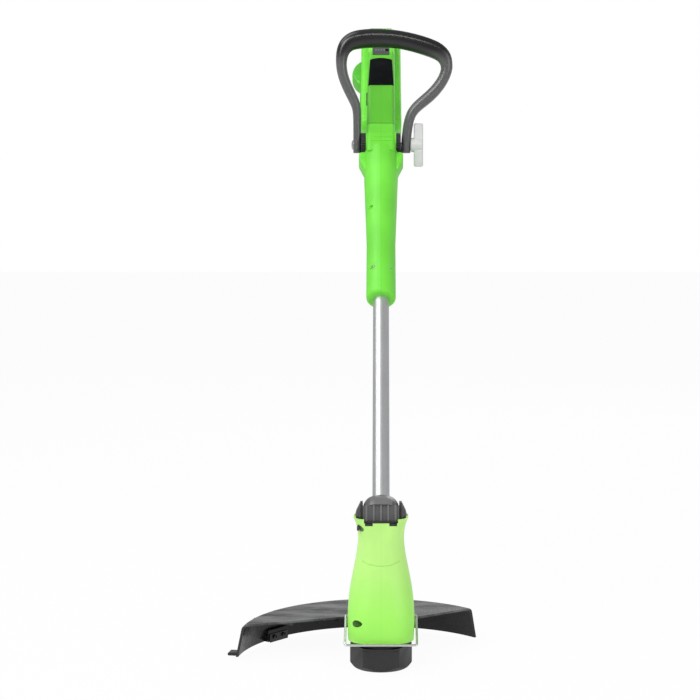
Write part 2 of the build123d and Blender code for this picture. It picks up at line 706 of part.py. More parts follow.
def line_eyelets():
    """Flanged metal bushes in the two line ports."""
    outer = SPOOL_R - 0.6
    inner = SPOOL_FLAT - SPOOL_WALL
    group = Part()
    for side in (-1, 1):
        span = sorted((side * inner, side * outer))
        bush = disc(EYELET_D / 2, *span, at=(0, EYELET_Z), axis="X")
        group += bush - disc(EYELET_BORE / 2, -60, 60, at=(0, EYELET_Z), axis="X")
    return group


def spool_reel():
    """Reel with two flanges and a middle wall between the two line chambers."""
    top = REEL_Z + REEL_H
    reel = disc(REEL_HUB_R, REEL_Z, top)
    for low in (REEL_Z, REEL_Z + (REEL_H - REEL_FLANGE) / 2, top - REEL_FLANGE):
        reel += disc(REEL_R - 1.5, low, low + REEL_FLANGE)
    reel -= disc(SPOOL_SPRING_R + 3.0 + SEAT, REEL_Z - 1, top - 3.0)
    return reel - disc(MOTOR_SHAFT_D / 2 + 1.0, REEL_Z, top + 1)


def wound_line():
    """The line as it lies on the reel, one closed pack in each chamber."""
    chamber = (REEL_H - 3 * REEL_FLANGE) / 2
    group = Part()
    for low in (REEL_Z + REEL_FLANGE, REEL_Z + REEL_FLANGE * 2 + chamber):
        pack = ring(LINE_R, REEL_HUB_R + 0.1, low + 0.1, low + chamber - 0.1)
        group += fillet(pack.edges().filter_by(GeomType.CIRCLE).sort_by(Axis.Z)[-1:], 1.0)
    return group


def spool_spring():
    """Spring between the cap and the reel."""
    height = REEL_H - 3.0 + REEL_Z - SPOOL_WALL - 2 * SEAT
    return Pos(0, 0, SPOOL_WALL + SEAT) * coil(SPOOL_SPRING_R, SPOOL_SPRING_WIRE, height,
                                              SPOOL_SPRING_TURNS)


# ---------------------------------------------------------------- guard
def guard_ring():
    """The guard's section turned through a full circle: flat plate, rounded edge, flared skirt."""
    skirt_r = GUARD_R + GUARD_FLARE
    outline = Polyline(
        (0, GUARD_TOP_Z), (GUARD_R, GUARD_TOP_Z), (skirt_r, GUARD_FOOT_Z),
        (skirt_r - GUARD_WALL, GUARD_FOOT_Z),
        (GUARD_R - GUARD_WALL, GUARD_TOP_Z - GUARD_WALL), (0, GUARD_TOP_Z - GUARD_WALL), close=True)
    face = make_face(outline)
    shoulder = face.vertices().sort_by_distance(Vector(GUARD_R, GUARD_TOP_Z, 0))[0]
    face = fillet(shoulder, GUARD_EDGE_R)
    inner = face.vertices().sort_by_distance(Vector(GUARD_R - GUARD_WALL, GUARD_TOP_Z - GUARD_WALL, 0))[0]
    face = fillet(inner, GUARD_EDGE_R - GUARD_WALL)
    return Pos(GUARD_X, 0, 0) * revolve(Plane.XZ * face, Axis.Z)


def guard_plan():
    """Area behind the guard's front edges, seen from above."""
    reach = GUARD_R + GUARD_FLARE + 30
    throat = GUARD_SADDLE_T + HEAD_FOOT_W / 2 + 2
    left_x, left_y = GUARD_LEFT_END
    right_x, right_y = GUARD_RIGHT_END
    points = (
        (-throat, GUARD_THROAT_Y), (left_x, left_y), (-reach - 20, left_y - 14), (-reach - 20, reach),
        (reach, reach), (reach, right_y + (reach - right_x) * 0.78), (right_x, right_y),
        (throat, GUARD_THROAT_Y), (throat - 6, 12), (-throat + 6, 12),
    )
    return make_face(Polyline(*points, close=True))


def guard():
    """Black guard behind the head, with its saddle, stiffening ribs, foot and cutter seat."""
    body = guard_ring()
    for index in range(GUARD_RIBS):
        angle = 62 + index * (158 - 62) / (GUARD_RIBS - 1)
        rib = block((GUARD_THROAT_Y + 14, GUARD_R - 1), (-GUARD_RIB_T / 2, GUARD_RIB_T / 2),
                    (GUARD_TOP_Z - GUARD_WALL - GUARD_RIB_H, GUARD_TOP_Z - 1))
        body += Pos(GUARD_X, 0, 0) * (Rot(0, 0, angle) * rib)
    saddle_top = GUARD_TOP_Z + GUARD_SADDLE_H
    depth = HEAD_MAX_D / 2
    saddle = extrude(Pos(0, 0, GUARD_TOP_Z - GUARD_WALL) * RectangleRounded(
        HEAD_MAX_W + 2 * GUARD_SADDLE_T, HEAD_MAX_D + 2 * GUARD_SADDLE_T, 33.0), GUARD_SADDLE_H)
    body += saddle & block((-60, 60), (20, depth + GUARD_SADDLE_T + 1), (0, saddle_top))
    body = body & extrude(guard_plan(), 90)
    body += guard_foot()
    body += cutter_seat()
    body -= loft(list(head_sections(-SEAT)))
    for x in (-GUARD_SCREW_X, GUARD_SCREW_X):
        body -= disc(GUARD_SCREW_D / 2, 20, 80, at=(x, GUARD_SCREW_Z), axis="Y")
    return body


def guard_foot():
    """Flared toe at the left end of the skirt."""
    radius = GUARD_R + GUARD_FLARE
    toe = block((radius - GUARD_WALL, radius + FOOT_OUT), (-12, 2), (GUARD_FOOT_Z, GUARD_FOOT_Z + FOOT_H))
    toe = fillet(toe.edges().filter_by(Axis.Y).sort_by(Axis.X)[-2:], FOOT_H / 2 - 0.1)
    return Pos(GUARD_X, 0, 0) * (Rot(0, 0, 171) * toe)


def cutter_place():
    """Plane of the line cutter: x along the skirt, y towards the spool, z up."""
    angle = radians(CUTTER_ANGLE)
    radius = GUARD_R + GUARD_FLARE - GUARD_WALL
    origin = (GUARD_X + radius * cos(angle), radius * sin(angle), GUARD_FOOT_Z)
    return Plane(origin=origin, x_dir=(-sin(angle), cos(angle), 0), z_dir=(0, 0, 1))


def cutter_seat():
    """Pad inside the skirt that the cutter is screwed to."""
    place = cutter_place()
    pad = block((-CUTTER_L / 2 - 2, CUTTER_L / 2 + 2), (-1, 7.5), (0, CUTTER_H + 4))
    return place.location * pad


def line_cutter():
    """Steel blade whose edge stands below the skirt, held flat against its pad."""
    place = cutter_place()
    blade = block((-CUTTER_L / 2, CUTTER_L / 2), (7.5, 7.5 + CUTTER_T), (-1, CUTTER_H - 1))
    edge = blade.edges().filter_by(Axis.X).sort_by(Axis.Z)[:1]
    blade = chamfer(edge, 1.2)
    for x in (-CUTTER_L / 4, CUTTER_L / 4):
        blade -= disc(CUTTER_SCREW_D / 2 + FIT, 0, 20, at=(x, CUTTER_H / 2), axis="Y")
    return place.location * blade


def cutter_screws():
    """Two screws of the line cutter."""
    place = cutter_place()
    group = Part()
    for x in (-CUTTER_L / 4, CUTTER_L / 4):
        group += disc(CUTTER_SCREW_D, 7.5 + CUTTER_T, 9.5 + CUTTER_T, at=(x, CUTTER_H / 2), axis="Y")
        group += disc(CUTTER_SCREW_D / 2, 7.5, 7.5 + CUTTER_T, at=(x, CUTTER_H / 2), axis="Y")
    return place.location * group


def guard_screws():
    """Two screws that hold the guard's saddle to the head."""
    face = guard_screw_face()
    group = Part()
    for x in (-GUARD_SCREW_X, GUARD_SCREW_X):
        group += disc(GUARD_SCREW_D / 2 - FIT, face - 12, face, at=(x, GUARD_SCREW_Z), axis="Y")
        group += disc(GUARD_SCREW_D, face, face + 2.4, at=(x, GUARD_SCREW_Z), axis="Y")
    return group


def guard_screw_face():
    """Y of the saddle's back face, where the screws' heads bear."""
    return HEAD_MAX_D / 2 + GUARD_SADDLE_T + 0.1


# ---------------------------------------------------------------- edge guide
def edge_guide_wire():
    """Steel bow that turns in the sides of the head and is stowed across its front foot."""
    half = GUIDE_HALF_W
    wall = HEAD_MAX_W / 2 - 6
    path = FilletPolyline(
        (-wall, 0, GUIDE_PIVOT_Z), (-half, 0, GUIDE_PIVOT_Z), (-half, GUIDE_FRONT_Y, GUIDE_LOW_Z),
        (half, GUIDE_FRONT_Y, GUIDE_LOW_Z), (half, 0, GUIDE_PIVOT_Z), (wall, 0, GUIDE_PIVOT_Z),
        radius=(2.4, GUIDE_BEND_R, GUIDE_BEND_R, 2.4))
    section = Plane(origin=path @ 0, z_dir=path % 0) * Circle(GUIDE_WIRE_D / 2)
    return sweep(section, path=path)


# ---------------------------------------------------------------- grip housing
def grip_outline(inset=0.0):
    """Side outline of the rear grip in (y, s): front line, rear end, battery foot and front riser."""
    points = (
        (GRIP_FRONT_Y - 1.5, SLEEVE_END + 40), (GRIP_FRONT_Y, LOOP_PIVOT_S + 50),
        (GRIP_FRONT_Y, REAR_END_S - 70), (GRIP_FRONT_Y + 20, REAR_END_S - 36),
        (BATTERY_BODY_Y0, REAR_END_S), (BATTERY_BODY_Y1 - 6, REAR_END_S),
        (BATTERY_BODY_Y1 - 6, BATTERY_BODY_S0 + 14), (BATTERY_BODY_Y0 - 4, LOOP_PIVOT_S + 36),
        (-GRIP_FRONT_Y + 2.5, SLEEVE_END + 40),
    )
    radii = (0, 60, 30, 40, 20, 10, 30, 50, 0)
    face = rounded_outline(points, radii)
    return offset(face, -inset) if inset else face


def finger_outline(grow=0.0):
    """Opening for the fingers between the grip and the battery foot, in (y, s)."""
    points = (
        (GRIP_BACK_Y, FINGER_S0), (GRIP_BACK_Y, FINGER_S1 - 8), (BATTERY_BODY_Y0 - 2, FINGER_S1 + 14),
        (BATTERY_BODY_Y0 - 2, FINGER_S0 + 34),
    )
    face = rounded_outline(points, (FINGER_CORNER_R,) * 4)
    return offset(face, grow) if grow else face


def sleeve_solid():
    """Round sleeve round the shaft, swelling towards the loop handle."""
    profile = make_face(Polyline(
        (0, SLEEVE_START), (SLEEVE_R, SLEEVE_START), (SLEEVE_R, SLEEVE_FLARE_START),
        (SLEEVE_TOP_R, SLEEVE_END), (SLEEVE_TOP_R, SLEEVE_REACH), (0, SLEEVE_REACH), close=True))
    rim = profile.vertices().sort_by_distance(Vector(SLEEVE_R, SLEEVE_START, 0))[0]
    profile = fillet(rim, 5.0)
    return revolve(Plane.XZ * profile, Axis.Z)


def shoulder_solid():
    """Wedge that widens the housing below the loop handle's discs."""
    points = (
        (-SLEEVE_TOP_R + 1, SHOULDER_START), (SLEEVE_TOP_R - 1, SHOULDER_START),
        (SHOULDER_HALF_W, SHOULDER_END), (SHOULDER_HALF_W, SHOULDER_END + SHOULDER_LAND),
        (-SHOULDER_HALF_W, SHOULDER_END + SHOULDER_LAND), (-SHOULDER_HALF_W, SHOULDER_END),
    )
    face = rounded_outline(points, (8, 8, 5, 5, 5, 5))
    body = extrude(Plane.XZ * face, SHOULDER_HALF_D, both=True)
    return fillet(body.faces().filter_by(Axis.Y).edges().filter_by(Axis.Z, reverse=True), 2.0)


def disc_pockets():
    """Room for the toothed discs and the loop's feet outside the housing's boss."""
    inner = LOOP_INNER_HALF - DISC_T - SEAT
    pockets = Part()
    for side in (-1, 1):
        span = sorted((side * inner, side * 60))
        pockets += disc(DISC_R + 3.0, *span, at=(0, LOOP_PIVOT_S), axis="X")
        pockets += block(span, (-40, 40), (LOOP_PIVOT_S, LOOP_PIVOT_S + 26))
    return pockets


def battery_bay():
    """Space for the pack, open at the rear end."""
    half = PACK_W / 2 + PACK_CLEAR
    middle = pack_centre_y()
    low = pack_start_s() - PACK_CLEAR
    return block((-half, half), (middle - PACK_H / 2 - PACK_CLEAR, middle + PACK_H / 2 + PACK_CLEAR),
                 (low, REAR_END_S + 20))


def pack_centre_y():
    """Middle of the battery foot, across the shaft."""
    return (BATTERY_BODY_Y0 + BATTERY_BODY_Y1) / 2


def pack_start_s():
    """Front face of the pack along the shaft."""
    return REAR_END_S + PACK_PROUD - PACK_L


def electronics_space():
    """Hollow of the battery foot in front of the bay."""
    half = BATTERY_BODY_W / 2 - GRIP_WALL - 2
    return block((-half, half), (BATTERY_BODY_Y0 + 6, BATTERY_BODY_Y1 - 8),
                 (BATTERY_BODY_S0 + 18, pack_start_s() - PACK_CLEAR + 0.1))


def grip_cavity():
    """Hollow of the grip between its two walls."""
    inner = offset(make_face(Polyline(
        (GRIP_FRONT_Y, LOOP_PIVOT_S + 24), (GRIP_FRONT_Y, REAR_END_S - 66), (GRIP_BACK_Y, FINGER_S1 - 20),
        (GRIP_BACK_Y, LOOP_PIVOT_S + 24), close=True)), -GRIP_WALL - 1.2)
    return extrude(Plane.YZ * inner, GRIP_W / 2 - GRIP_WALL, both=True)


def housing_screw_places():
    """(y, s) of every screw that joins the two mouldings of the grip housing."""
    places = [(-SLEEVE_SCREW_N, s) for s in SLEEVE_SCREWS_S]
    places += [(SLEEVE_SCREW_N, s + 34) for s in SLEEVE_SCREWS_S]
    places += [(0, LOOP_PIVOT_S + 32), (6, REAR_END_S - 55)]
    return places


def screw_head_face(place):
    """X where the screw's head bears, a fixed depth below the moulding's flank."""
    return -9.0 if place[1] < SLEEVE_END else -14.0


def battery_foot():
    """Wide lower body that holds the electronics and the pack."""
    points = (
        (BATTERY_BODY_Y0, REAR_END_S), (BATTERY_BODY_Y1, REAR_END_S),
        (BATTERY_BODY_Y1, BATTERY_BODY_S0 + 24), (BATTERY_BODY_Y0, BATTERY_BODY_S0),
    )
    body = side_plate(rounded_outline(points, (4, 12, 34, 14)), BATTERY_BODY_W / 2, 0)
    rims = body.faces().filter_by(Axis.X).edges()
    keep = [edge for edge in rims if edge.center().Z < REAR_END_S - 1]
    return fillet(keep, 7.0)


def grip_housing():
    """Two green mouldings: sleeve, shoulders, boss of the loop handle, grip and battery foot."""
    body = side_plate(grip_outline(), GRIP_W / 2, GRIP_EDGE_R - 2)
    body -= side_plate(finger_outline(), GRIP_W, 0)
    rims = [edge for edge in body.edges() if abs(abs(edge.center().X) - GRIP_W / 2) < 0.1
            and FINGER_S0 - 2 < edge.center().Z < FINGER_S1 + 16
            and GRIP_BACK_Y - 1 < edge.center().Y < BATTERY_BODY_Y0 + 1]
    body = fillet(rims, 7.0)
    body += battery_foot()
    body += sleeve_solid() + shoulder_solid()
    body += disc(DISC_R + 1.5, -LOOP_INNER_HALF + DISC_T + SEAT, LOOP_INNER_HALF - DISC_T - SEAT,
                 at=(0, LOOP_PIVOT_S), axis="X")
    body -= disc_pockets()
    body -= disc(TUBE_D / 2 + FIT, SLEEVE_START - 10, TUBE_END)
    body -= cable_channel() + clamp_block(FIT)
    body -= disc(BOLT_D / 2 + FIT, -60, 60, at=(0, LOOP_PIVOT_S), axis="X")
    body -= grip_cavity() + battery_bay() + electronics_space()
    body -= trigger_slot() + pad_pocket() + gauge_pocket() + latch_slot() + lock_off_slot()
    for place in housing_screw_places():
        y, s = place
        face = screw_head_face(place)
        body += disc(HOUSING_SCREW_HEAD_D / 2 + 1.5, -12, 12, at=place, axis="X") if s > SLEEVE_END else Part()
        body -= disc(HOUSING_SCREW_D / 2, face, face + HOUSING_SCREW_L + 1, at=place, axis="X")
        body -= disc(HOUSING_SCREW_HEAD_D / 2 + FIT, -40, face, at=place, axis="X")
    body -= band_grooves()
    return in_shaft(left_half(body)), in_shaft(right_half(body))


def band_grooves():
    """Fine cross lines on the front face by the loop handle."""
    cuts = Part()
    for s in BAND_GROOVES_S:
        cuts += block((-GRIP_W / 2 + 3, GRIP_W / 2 - 3), (GRIP_FRONT_Y - 6, GRIP_FRONT_Y - 1.4 + BAND_GROOVE_DEPTH),
                      (s - BAND_GROOVE_W / 2, s + BAND_GROOVE_W / 2))
    return cuts


def housing_screws():
    """Screws of the grip housing, driven in from the left."""
    group = Part()
    for place in housing_screw_places():
        face = screw_head_face(place)
        group += disc(HOUSING_SCREW_D / 2 - FIT, face, face + HOUSING_SCREW_L, at=place, axis="X")
        group += disc(HOUSING_SCREW_HEAD_D / 2, face - 2.6, face, at=place, axis="X")
    return in_shaft(group)


# ---------------------------------------------------------------- grip pad and gauge
def pad_face(grow=0.0):
    """Pad outline in (x, s), narrower towards the rear, with an arched rear edge."""
    low, high = PAD_W0 / 2 + grow, PAD_W1 / 2 + grow
    edge = Polyline((-high, PAD_S1 + grow - 4), (-low, PAD_S0 - grow), (low, PAD_S0 - grow),
                    (high, PAD_S1 + grow - 4))
    arch = ThreePointArc((high, PAD_S1 + grow - 4), (0, PAD_S1 + grow), (-high, PAD_S1 + grow - 4))
    return make_face(edge + arch)


def pad_slab(grow, outer, inner):
    """Slab of the pad's outline between two depths, bent over the grip's rounded flanks."""
    slab = extrude(Plane.XZ * pad_face(grow), 60)
    half = GRIP_W / 2
    shape = side_plate(rounded_outline(
        ((GRIP_FRONT_Y - outer, PAD_S0 - 20), (GRIP_FRONT_Y - outer, PAD_S1 + 20),
         (0, PAD_S1 + 20), (0, PAD_S0 - 20)), (0, 0, 0, 0)), half + outer, 0)
    shape = fillet(shape.edges().filter_by(Axis.Z).filter_by(lambda e: e.center().Y < -1), GRIP_EDGE_R)
    core = block((-half + 1, half - 1), (GRIP_FRONT_Y + inner, 5), (PAD_S0 - 30, PAD_S1 + 30))
    return (slab & shape) - core


def grip_pad():
    """Soft black pad let into the front of the grip."""
    return in_shaft(pad_slab(0, PAD_PROUD, PAD_T - PAD_PROUD))


def pad_pocket():
    """Recess of the soft pad in the housing."""
    slab = extrude(Plane.XZ * pad_face(GAP), 60)
    return slab & block((-GRIP_W, GRIP_W), (-60, GRIP_FRONT_Y + PAD_T - PAD_PROUD + SEAT), (0, REAR_END_S))


def gauge_block(grow):
    """Body of the charge gauge, in the shaft frame."""
    half = GAUGE_W / 2 + grow
    return block((-half, half), (GRIP_FRONT_Y - 0.4 - grow, GRIP_FRONT_Y + GAUGE_T + grow),
                 (GAUGE_S0 - grow, GAUGE_S0 + GAUGE_L + grow))


def charge_gauge():
    """Grey window of the charge gauge behind the pad."""
    body = gauge_block(0)
    return in_shaft(fillet(body.edges().filter_by(Axis.Y), 3.0))


def gauge_pocket():
    """Recess of the charge gauge."""
    return gauge_block(GAP)


# ---------------------------------------------------------------- loop handle
def loop_outer():
    """Outer edge of the loop in (x, height above the pivot), with its corner radii."""
    foot = LOOP_INNER_HALF + LOOP_LEG_T
    left = LOOP_INNER_HALF + LOOP_LEFT_LEG_T
    return (
        ((-left, LOOP_FOOT_Z), 0), ((-left, 44), 30), ((-LOOP_WIDTH_LEFT - 1, 104), 60),
        ((-LOOP_WIDTH_LEFT + 2.5, LOOP_HEIGHT - 6), 15), ((-4, LOOP_HEIGHT + 2), 150),
        ((LOOP_WIDTH_RIGHT - 3, LOOP_HEIGHT - 26), 16), ((LOOP_WIDTH_RIGHT - 2, 112), 34),
        ((84, 60), 40), ((foot + 6, 44), 26), ((foot, 16), 40), ((foot, LOOP_FOOT_Z), 0),
    )


def loop_inner():
    """Inner edge of the loop, from the right foot back to the left one."""
    half = LOOP_INNER_HALF
    limb = LOOP_LIMB_T
    return (
        ((half, LOOP_FOOT_Z), 0), ((half, 18), 40), ((half + 9, 56), 18), ((72, 84), 30),
        ((LOOP_WIDTH_RIGHT - limb - 1, 112), 14), ((LOOP_WIDTH_RIGHT - limb - 7, LOOP_HEIGHT - 46), 14),
        ((26, LOOP_HEIGHT - LOOP_BAR_T), 120), ((-LOOP_WIDTH_LEFT + limb + 4, LOOP_HEIGHT - LOOP_BAR_T - 6), 16),
        ((-LOOP_WIDTH_LEFT + limb - 1, 104), 40), ((-half + 3, 58), 26), ((-half, 40), 40),
        ((-half, LOOP_FOOT_Z), 0),
    )


def loop_handle():
    """Black loop that stands up from the discs: straight legs, swept limbs and the hand bar."""
    corners = loop_outer() + loop_inner()
    face = rounded_outline([point for point, _ in corners], [radius for _, radius in corners])
    body = extrude(face, LOOP_DEPTH / 2, both=True)
    rims = body.faces().filter_by(Axis.Z).edges()
    body = fillet(rims, LOOP_EDGE_R)
    half = LOOP_INNER_HALF
    for side, leg in ((-1, LOOP_LEFT_LEG_T), (1, LOOP_LEG_T)):
        span = sorted((side * half, side * (half + leg)))
        body += disc(LOOP_DEPTH / 2 + 2, *span, at=(0, 0), axis="X") & loop_foot_block(span)
        bore = sorted((side * (half - 1), side * 80))
        body -= disc(BOLT_D / 2 + FIT, *bore, at=(0, 0), axis="X")
    left_face = -half - LOOP_LEFT_LEG_T
    body -= disc(BOLT_HEAD_D / 2 + FIT, left_face - 1, left_face + BOLT_HEAD_T, at=(0, 0), axis="X")
    return LOOP_PLANE.location * body


def loop_foot_block(span):
    """Clip of the round foot, so that it stays within its leg."""
    return block(span, (-LOOP_DEPTH, LOOP_DEPTH), (-LOOP_DEPTH / 2 - 1, LOOP_DEPTH / 2 + 1))


def loop_disc(side):
    """Toothed disc between the housing's boss and a foot of the loop."""
    inner, outer = LOOP_INNER_HALF - DISC_T, LOOP_INNER_HALF - 0.1
    span = sorted((side * inner, side * outer))
    body = disc(DISC_R, *span, at=(0, 0), axis="X")
    for index in range(DISC_TEETH):
        notch = Rot(360 / DISC_TEETH * index, 0, 0) * (
            Pos(0, 0, DISC_R) * (Rot(45, 0, 0) * Box(2 * LOOP_INNER_HALF + 2, DISC_TOOTH, DISC_TOOTH)))
        body -= notch
    body -= disc(BOLT_D / 2 + FIT, -60, 60, at=(0, 0), axis="X")
    return Pos(*LOOP_PIVOT) * body


def loop_bolt():
    """Carriage bolt through both feet and the housing, with its head in the left foot."""
    left = -LOOP_INNER_HALF - LOOP_LEFT_LEG_T
    right = LOOP_INNER_HALF + LOOP_LEG_T
    body = disc(BOLT_D / 2, left + 1, right + KNOB_STANDOFF + KNOB_T - 4, at=(0, 0), axis="X")
    head = disc(BOLT_HEAD_D / 2, left + 0.5, left + BOLT_HEAD_T, at=(0, 0), axis="X")
    body += chamfer(head.edges().sort_by(Axis.X)[:1], 1.5)
    return Pos(*LOOP_PIVOT) * body


def knob_base():
    """X of the knob's inner face, beside the right foot."""
    return LOOP_INNER_HALF + LOOP_LEG_T + SEAT


def clamp_knob():
    """Grey wing knob: round hub with two tapering wings."""
    low = knob_base()
    high = low + KNOB_STANDOFF + KNOB_T
    hub = disc(KNOB_HUB_D / 2, low, high, at=(0, 0), axis="X")
    wing = make_face(Polyline(
        (0, -KNOB_W / 2), (KNOB_L / 2, -KNOB_W / 2 + 2.5), (KNOB_L / 2, KNOB_W / 2 - 2.5), (0, KNOB_W / 2),
        (-KNOB_L / 2, KNOB_W / 2 - 2.5), (-KNOB_L / 2, -KNOB_W / 2 + 2.5), close=True))
    side = Plane(origin=(low + KNOB_STANDOFF, 0, 0), x_dir=(0, 0, 1), z_dir=(1, 0, 0))
    wings = extrude(side * wing, KNOB_T - 1.0)
    wings = fillet(wings.edges().filter_by(Axis.X), 3.0)
    body = fillet(hub.edges().sort_by(Axis.X)[-1:], 2.5) + wings
    body -= disc(BOLT_D / 2 + FIT, low - 1, high - 3.0, at=(0, 0), axis="X")
    body -= knob_nut_prism(low, GAP / 3)
    return Pos(*LOOP_PIVOT) * body


def knob_nut_prism(low, grow):
    """Hexagon of the nut that is pressed into the knob."""
    across = KNOB_NUT_AF / 2 + grow
    place = Plane(origin=(low + 1.0, 0, 0), x_dir=(0, 1, 0), z_dir=(1, 0, 0))
    return extrude(place * RegularPolygon(across, 6, major_radius=False), KNOB_NUT_T)


def knob_nut():
    """Steel nut inside the knob."""
    body = knob_nut_prism(knob_base(), 0) - disc(BOLT_D / 2 + FIT, 0, 90, at=(0, 0), axis="X")
    return Pos(*LOOP_PIVOT) * body


# ---------------------------------------------------------------- trigger group
TRIGGER_PIVOT = (GRIP_BACK_Y - 6.0, TRIGGER_S0 + 1.0)


def trigger_outline(grow=0.0):
    """Trigger blade in (y, s): a hollow front edge for the finger below the grip."""
    out = GRIP_BACK_Y + TRIGGER_OUT
    back = GRIP_BACK_Y - 9.0
    points = ((back, TRIGGER_S0 - 4), (GRIP_BACK_Y + 2, TRIGGER_S0 - 4), (out - 4, TRIGGER_S0 + 18),
              (out, TRIGGER_S1 - 4), (out - 2, TRIGGER_S1), (back, TRIGGER_S1))
    face = rounded_outline(points, (3, 4, 30, 2, 2, 2))
    return offset(face, grow) if grow else face


def trigger():
    """Black trigger on its pin."""
    body = side_plate(trigger_outline(), TRIGGER_W / 2, 1.5)
    return in_shaft(body - disc(TRIGGER_PIN_D / 2 + FIT, -40, 40, at=TRIGGER_PIVOT, axis="X"))


def trigger_slot():
    """Slot of the trigger through the underside of the grip."""
    half = TRIGGER_W / 2 + 0.6
    slot = block((-half, half), (GRIP_BACK_Y - 8, GRIP_BACK_Y + 20), (TRIGGER_S0 - 6, TRIGGER_S1 + 1.5))
    pin = disc(TRIGGER_PIN_D / 2 + FIT, -GRIP_W / 2 + 4, GRIP_W / 2 - 4, at=TRIGGER_PIVOT, axis="X")
    return slot + pin


def trigger_pin():
    """Steel pin between the two mouldings."""
    return in_shaft(disc(TRIGGER_PIN_D / 2, -GRIP_W / 2 + 4, GRIP_W / 2 - 4, at=TRIGGER_PIVOT, axis="X"))


def switch_box():
    """(low, high) pairs of the switch behind the trigger."""
    top = GRIP_BACK_Y - 9.0 - 5.5
    return ((-SWITCH_W / 2, SWITCH_W / 2), (top - SWITCH_H, top), (TRIGGER_S0 + 8, TRIGGER_S0 + 8 + SWITCH_L))


def power_switch():
    """Switch body with the plunger that the trigger presses."""
    x, y, s = switch_box()
    body = fillet(block(x, y, s).edges().filter_by(Axis.Y), 1.0)
    plunger_s = (s[0] + s[1]) / 2 + 4
    return in_shaft(body + disc(2.5, y[1], y[1] + PLUNGER_H, at=(0, plunger_s), axis="Y"))


def trigger_spring():
    """Return spring between the switch and the trigger."""
    _, y, s = switch_box()
    height = GRIP_BACK_Y - 9.0 - y[1] - 2 * SEAT
    spring = coil(TRIGGER_SPRING_R, SPRING_WIRE, height, 3)
    return in_shaft(Pos(0, y[1] + SEAT, s[0] + 5) * (Rot(-90, 0, 0) * spring))


def lock_off_block(grow):
    """Lock-off button in the left flank of the grip."""
    half_s, half_y = LOCK_OFF_L / 2 + grow, LOCK_OFF_H / 2 + grow
    flank = GRIP_W / 2
    body = block((-flank - LOCK_OFF_PROUD, -flank + 6), (-8 - half_y, -8 + half_y),
                 (LOCK_OFF_S - half_s, LOCK_OFF_S + half_s))
    return fillet(body.edges().filter_by(Axis.X), 4.0)


def lock_off_button():
    """Button that frees the trigger when it is pushed in."""
    body = lock_off_block(0)
    face = body.faces().sort_by(Axis.X)[:1]
    return in_shaft(fillet(face.edges(), 1.2))


def lock_off_slot():
    """Guide of the lock-off button through the left wall."""
    return lock_off_block(GAP) + block((-GRIP_W / 2 + 2, -SWITCH_W / 2 - 1), (-8 - 6, -8 + 6),
                                       (LOCK_OFF_S - 11, LOCK_OFF_S + 11))


def lock_off_spring():
    """Return spring of the lock-off button, against the switch."""
    start = -SWITCH_W / 2
    height = GRIP_W / 2 - 6 - SWITCH_W / 2 - 2 * SEAT
    spring = coil(2.6, SPRING_WIRE, height, 3)
    return in_shaft(Pos(start - SEAT, -8, LOCK_OFF_S) * (Rot(0, -90, 0) * spring))


# ---------------------------------------------------------------- electronics and battery
def board_y():
    """Upper face of the control board, across the shaft."""
    return BATTERY_BODY_Y0 + 14


def control_board():
    """Speed control board in the battery foot."""
    y = board_y()
    body = block((-BOARD_W / 2, BOARD_W / 2), (y, y + BOARD_T), (BOARD_S, BOARD_S + BOARD_L))
    for x in (-14, 0, 14):
        body += disc(4.5, y + BOARD_T, y + BOARD_T + 9, at=(x, BOARD_S + 12), axis="Y")
    body += block((-16, 16), (y + BOARD_T, y + BOARD_T + 11), (BOARD_S + 28, BOARD_S + 44))
    return in_shaft(body)


def terminal_block():
    """Socket in front of the pack, with its two blades."""
    front = pack_start_s() - PACK_CLEAR
    middle = pack_centre_y()
    body = block((-22, 22), (middle - 10, middle + 12), (front - TERMINAL_T, front - 0.2))
    body = fillet(body.edges().filter_by(Axis.Z), 2.0)
    for x in (-12, 12):
        body += block((x - 0.5, x + 0.5), (middle - 6, middle + 6), (front - 1, front + 6))
    return in_shaft(body)


def pack_block(inset):
    """Envelope of the battery pack, in the shaft frame."""
    middle = pack_centre_y()
    low = pack_start_s()
    return block((-PACK_W / 2 + inset, PACK_W / 2 - inset),
                 (middle - PACK_H / 2 + inset, middle + PACK_H / 2 - inset),
                 (low + inset, low + PACK_L - inset))


def battery_case():
    """Black case of the pack, in a tray and a lid that meet across its middle."""
    body = pack_block(0)
    body = fillet(body.edges().filter_by(Axis.Z), 3.0)
    body = fillet(body.faces().sort_by(Axis.Z)[-1].edges(), 1.2)
    body -= pack_block(PACK_WALL)
    middle = pack_centre_y()
    for x in (-12, 12):
        body -= block((x - 1.2, x + 1.2), (middle - 7, middle + 7), (pack_start_s() - 1, pack_start_s() + 8))
    for index in range(4):
        y = middle - 12 + index * 8
        body -= block((-18, 18), (y - 1, y + 1), (pack_start_s() + PACK_L - 1.0, pack_start_s() + PACK_L + 1))
    upper = block((-60, 60), (0, middle), (0, 1200))
    return in_shaft(body & upper), in_shaft(body - upper)


def battery_cells():
    """Five cells in two rows."""
    middle = pack_centre_y()
    start = pack_start_s() + PACK_L - PACK_WALL - SEAT - CELL_L
    pitch = CELL_D + 0.1
    group = Part()
    low_y = middle + PACK_H / 2 - PACK_WALL - SEAT - CELL_D / 2
    for index in range(3):
        group += disc(CELL_D / 2, start, start + CELL_L, at=((index - 1) * pitch, low_y))
    high_y = middle - PACK_H / 2 + PACK_WALL + SEAT + CELL_D / 2
    for index in range(2):
        group += disc(CELL_D / 2, start, start + CELL_L, at=((index - 0.5) * pitch, high_y))
    return in_shaft(group)


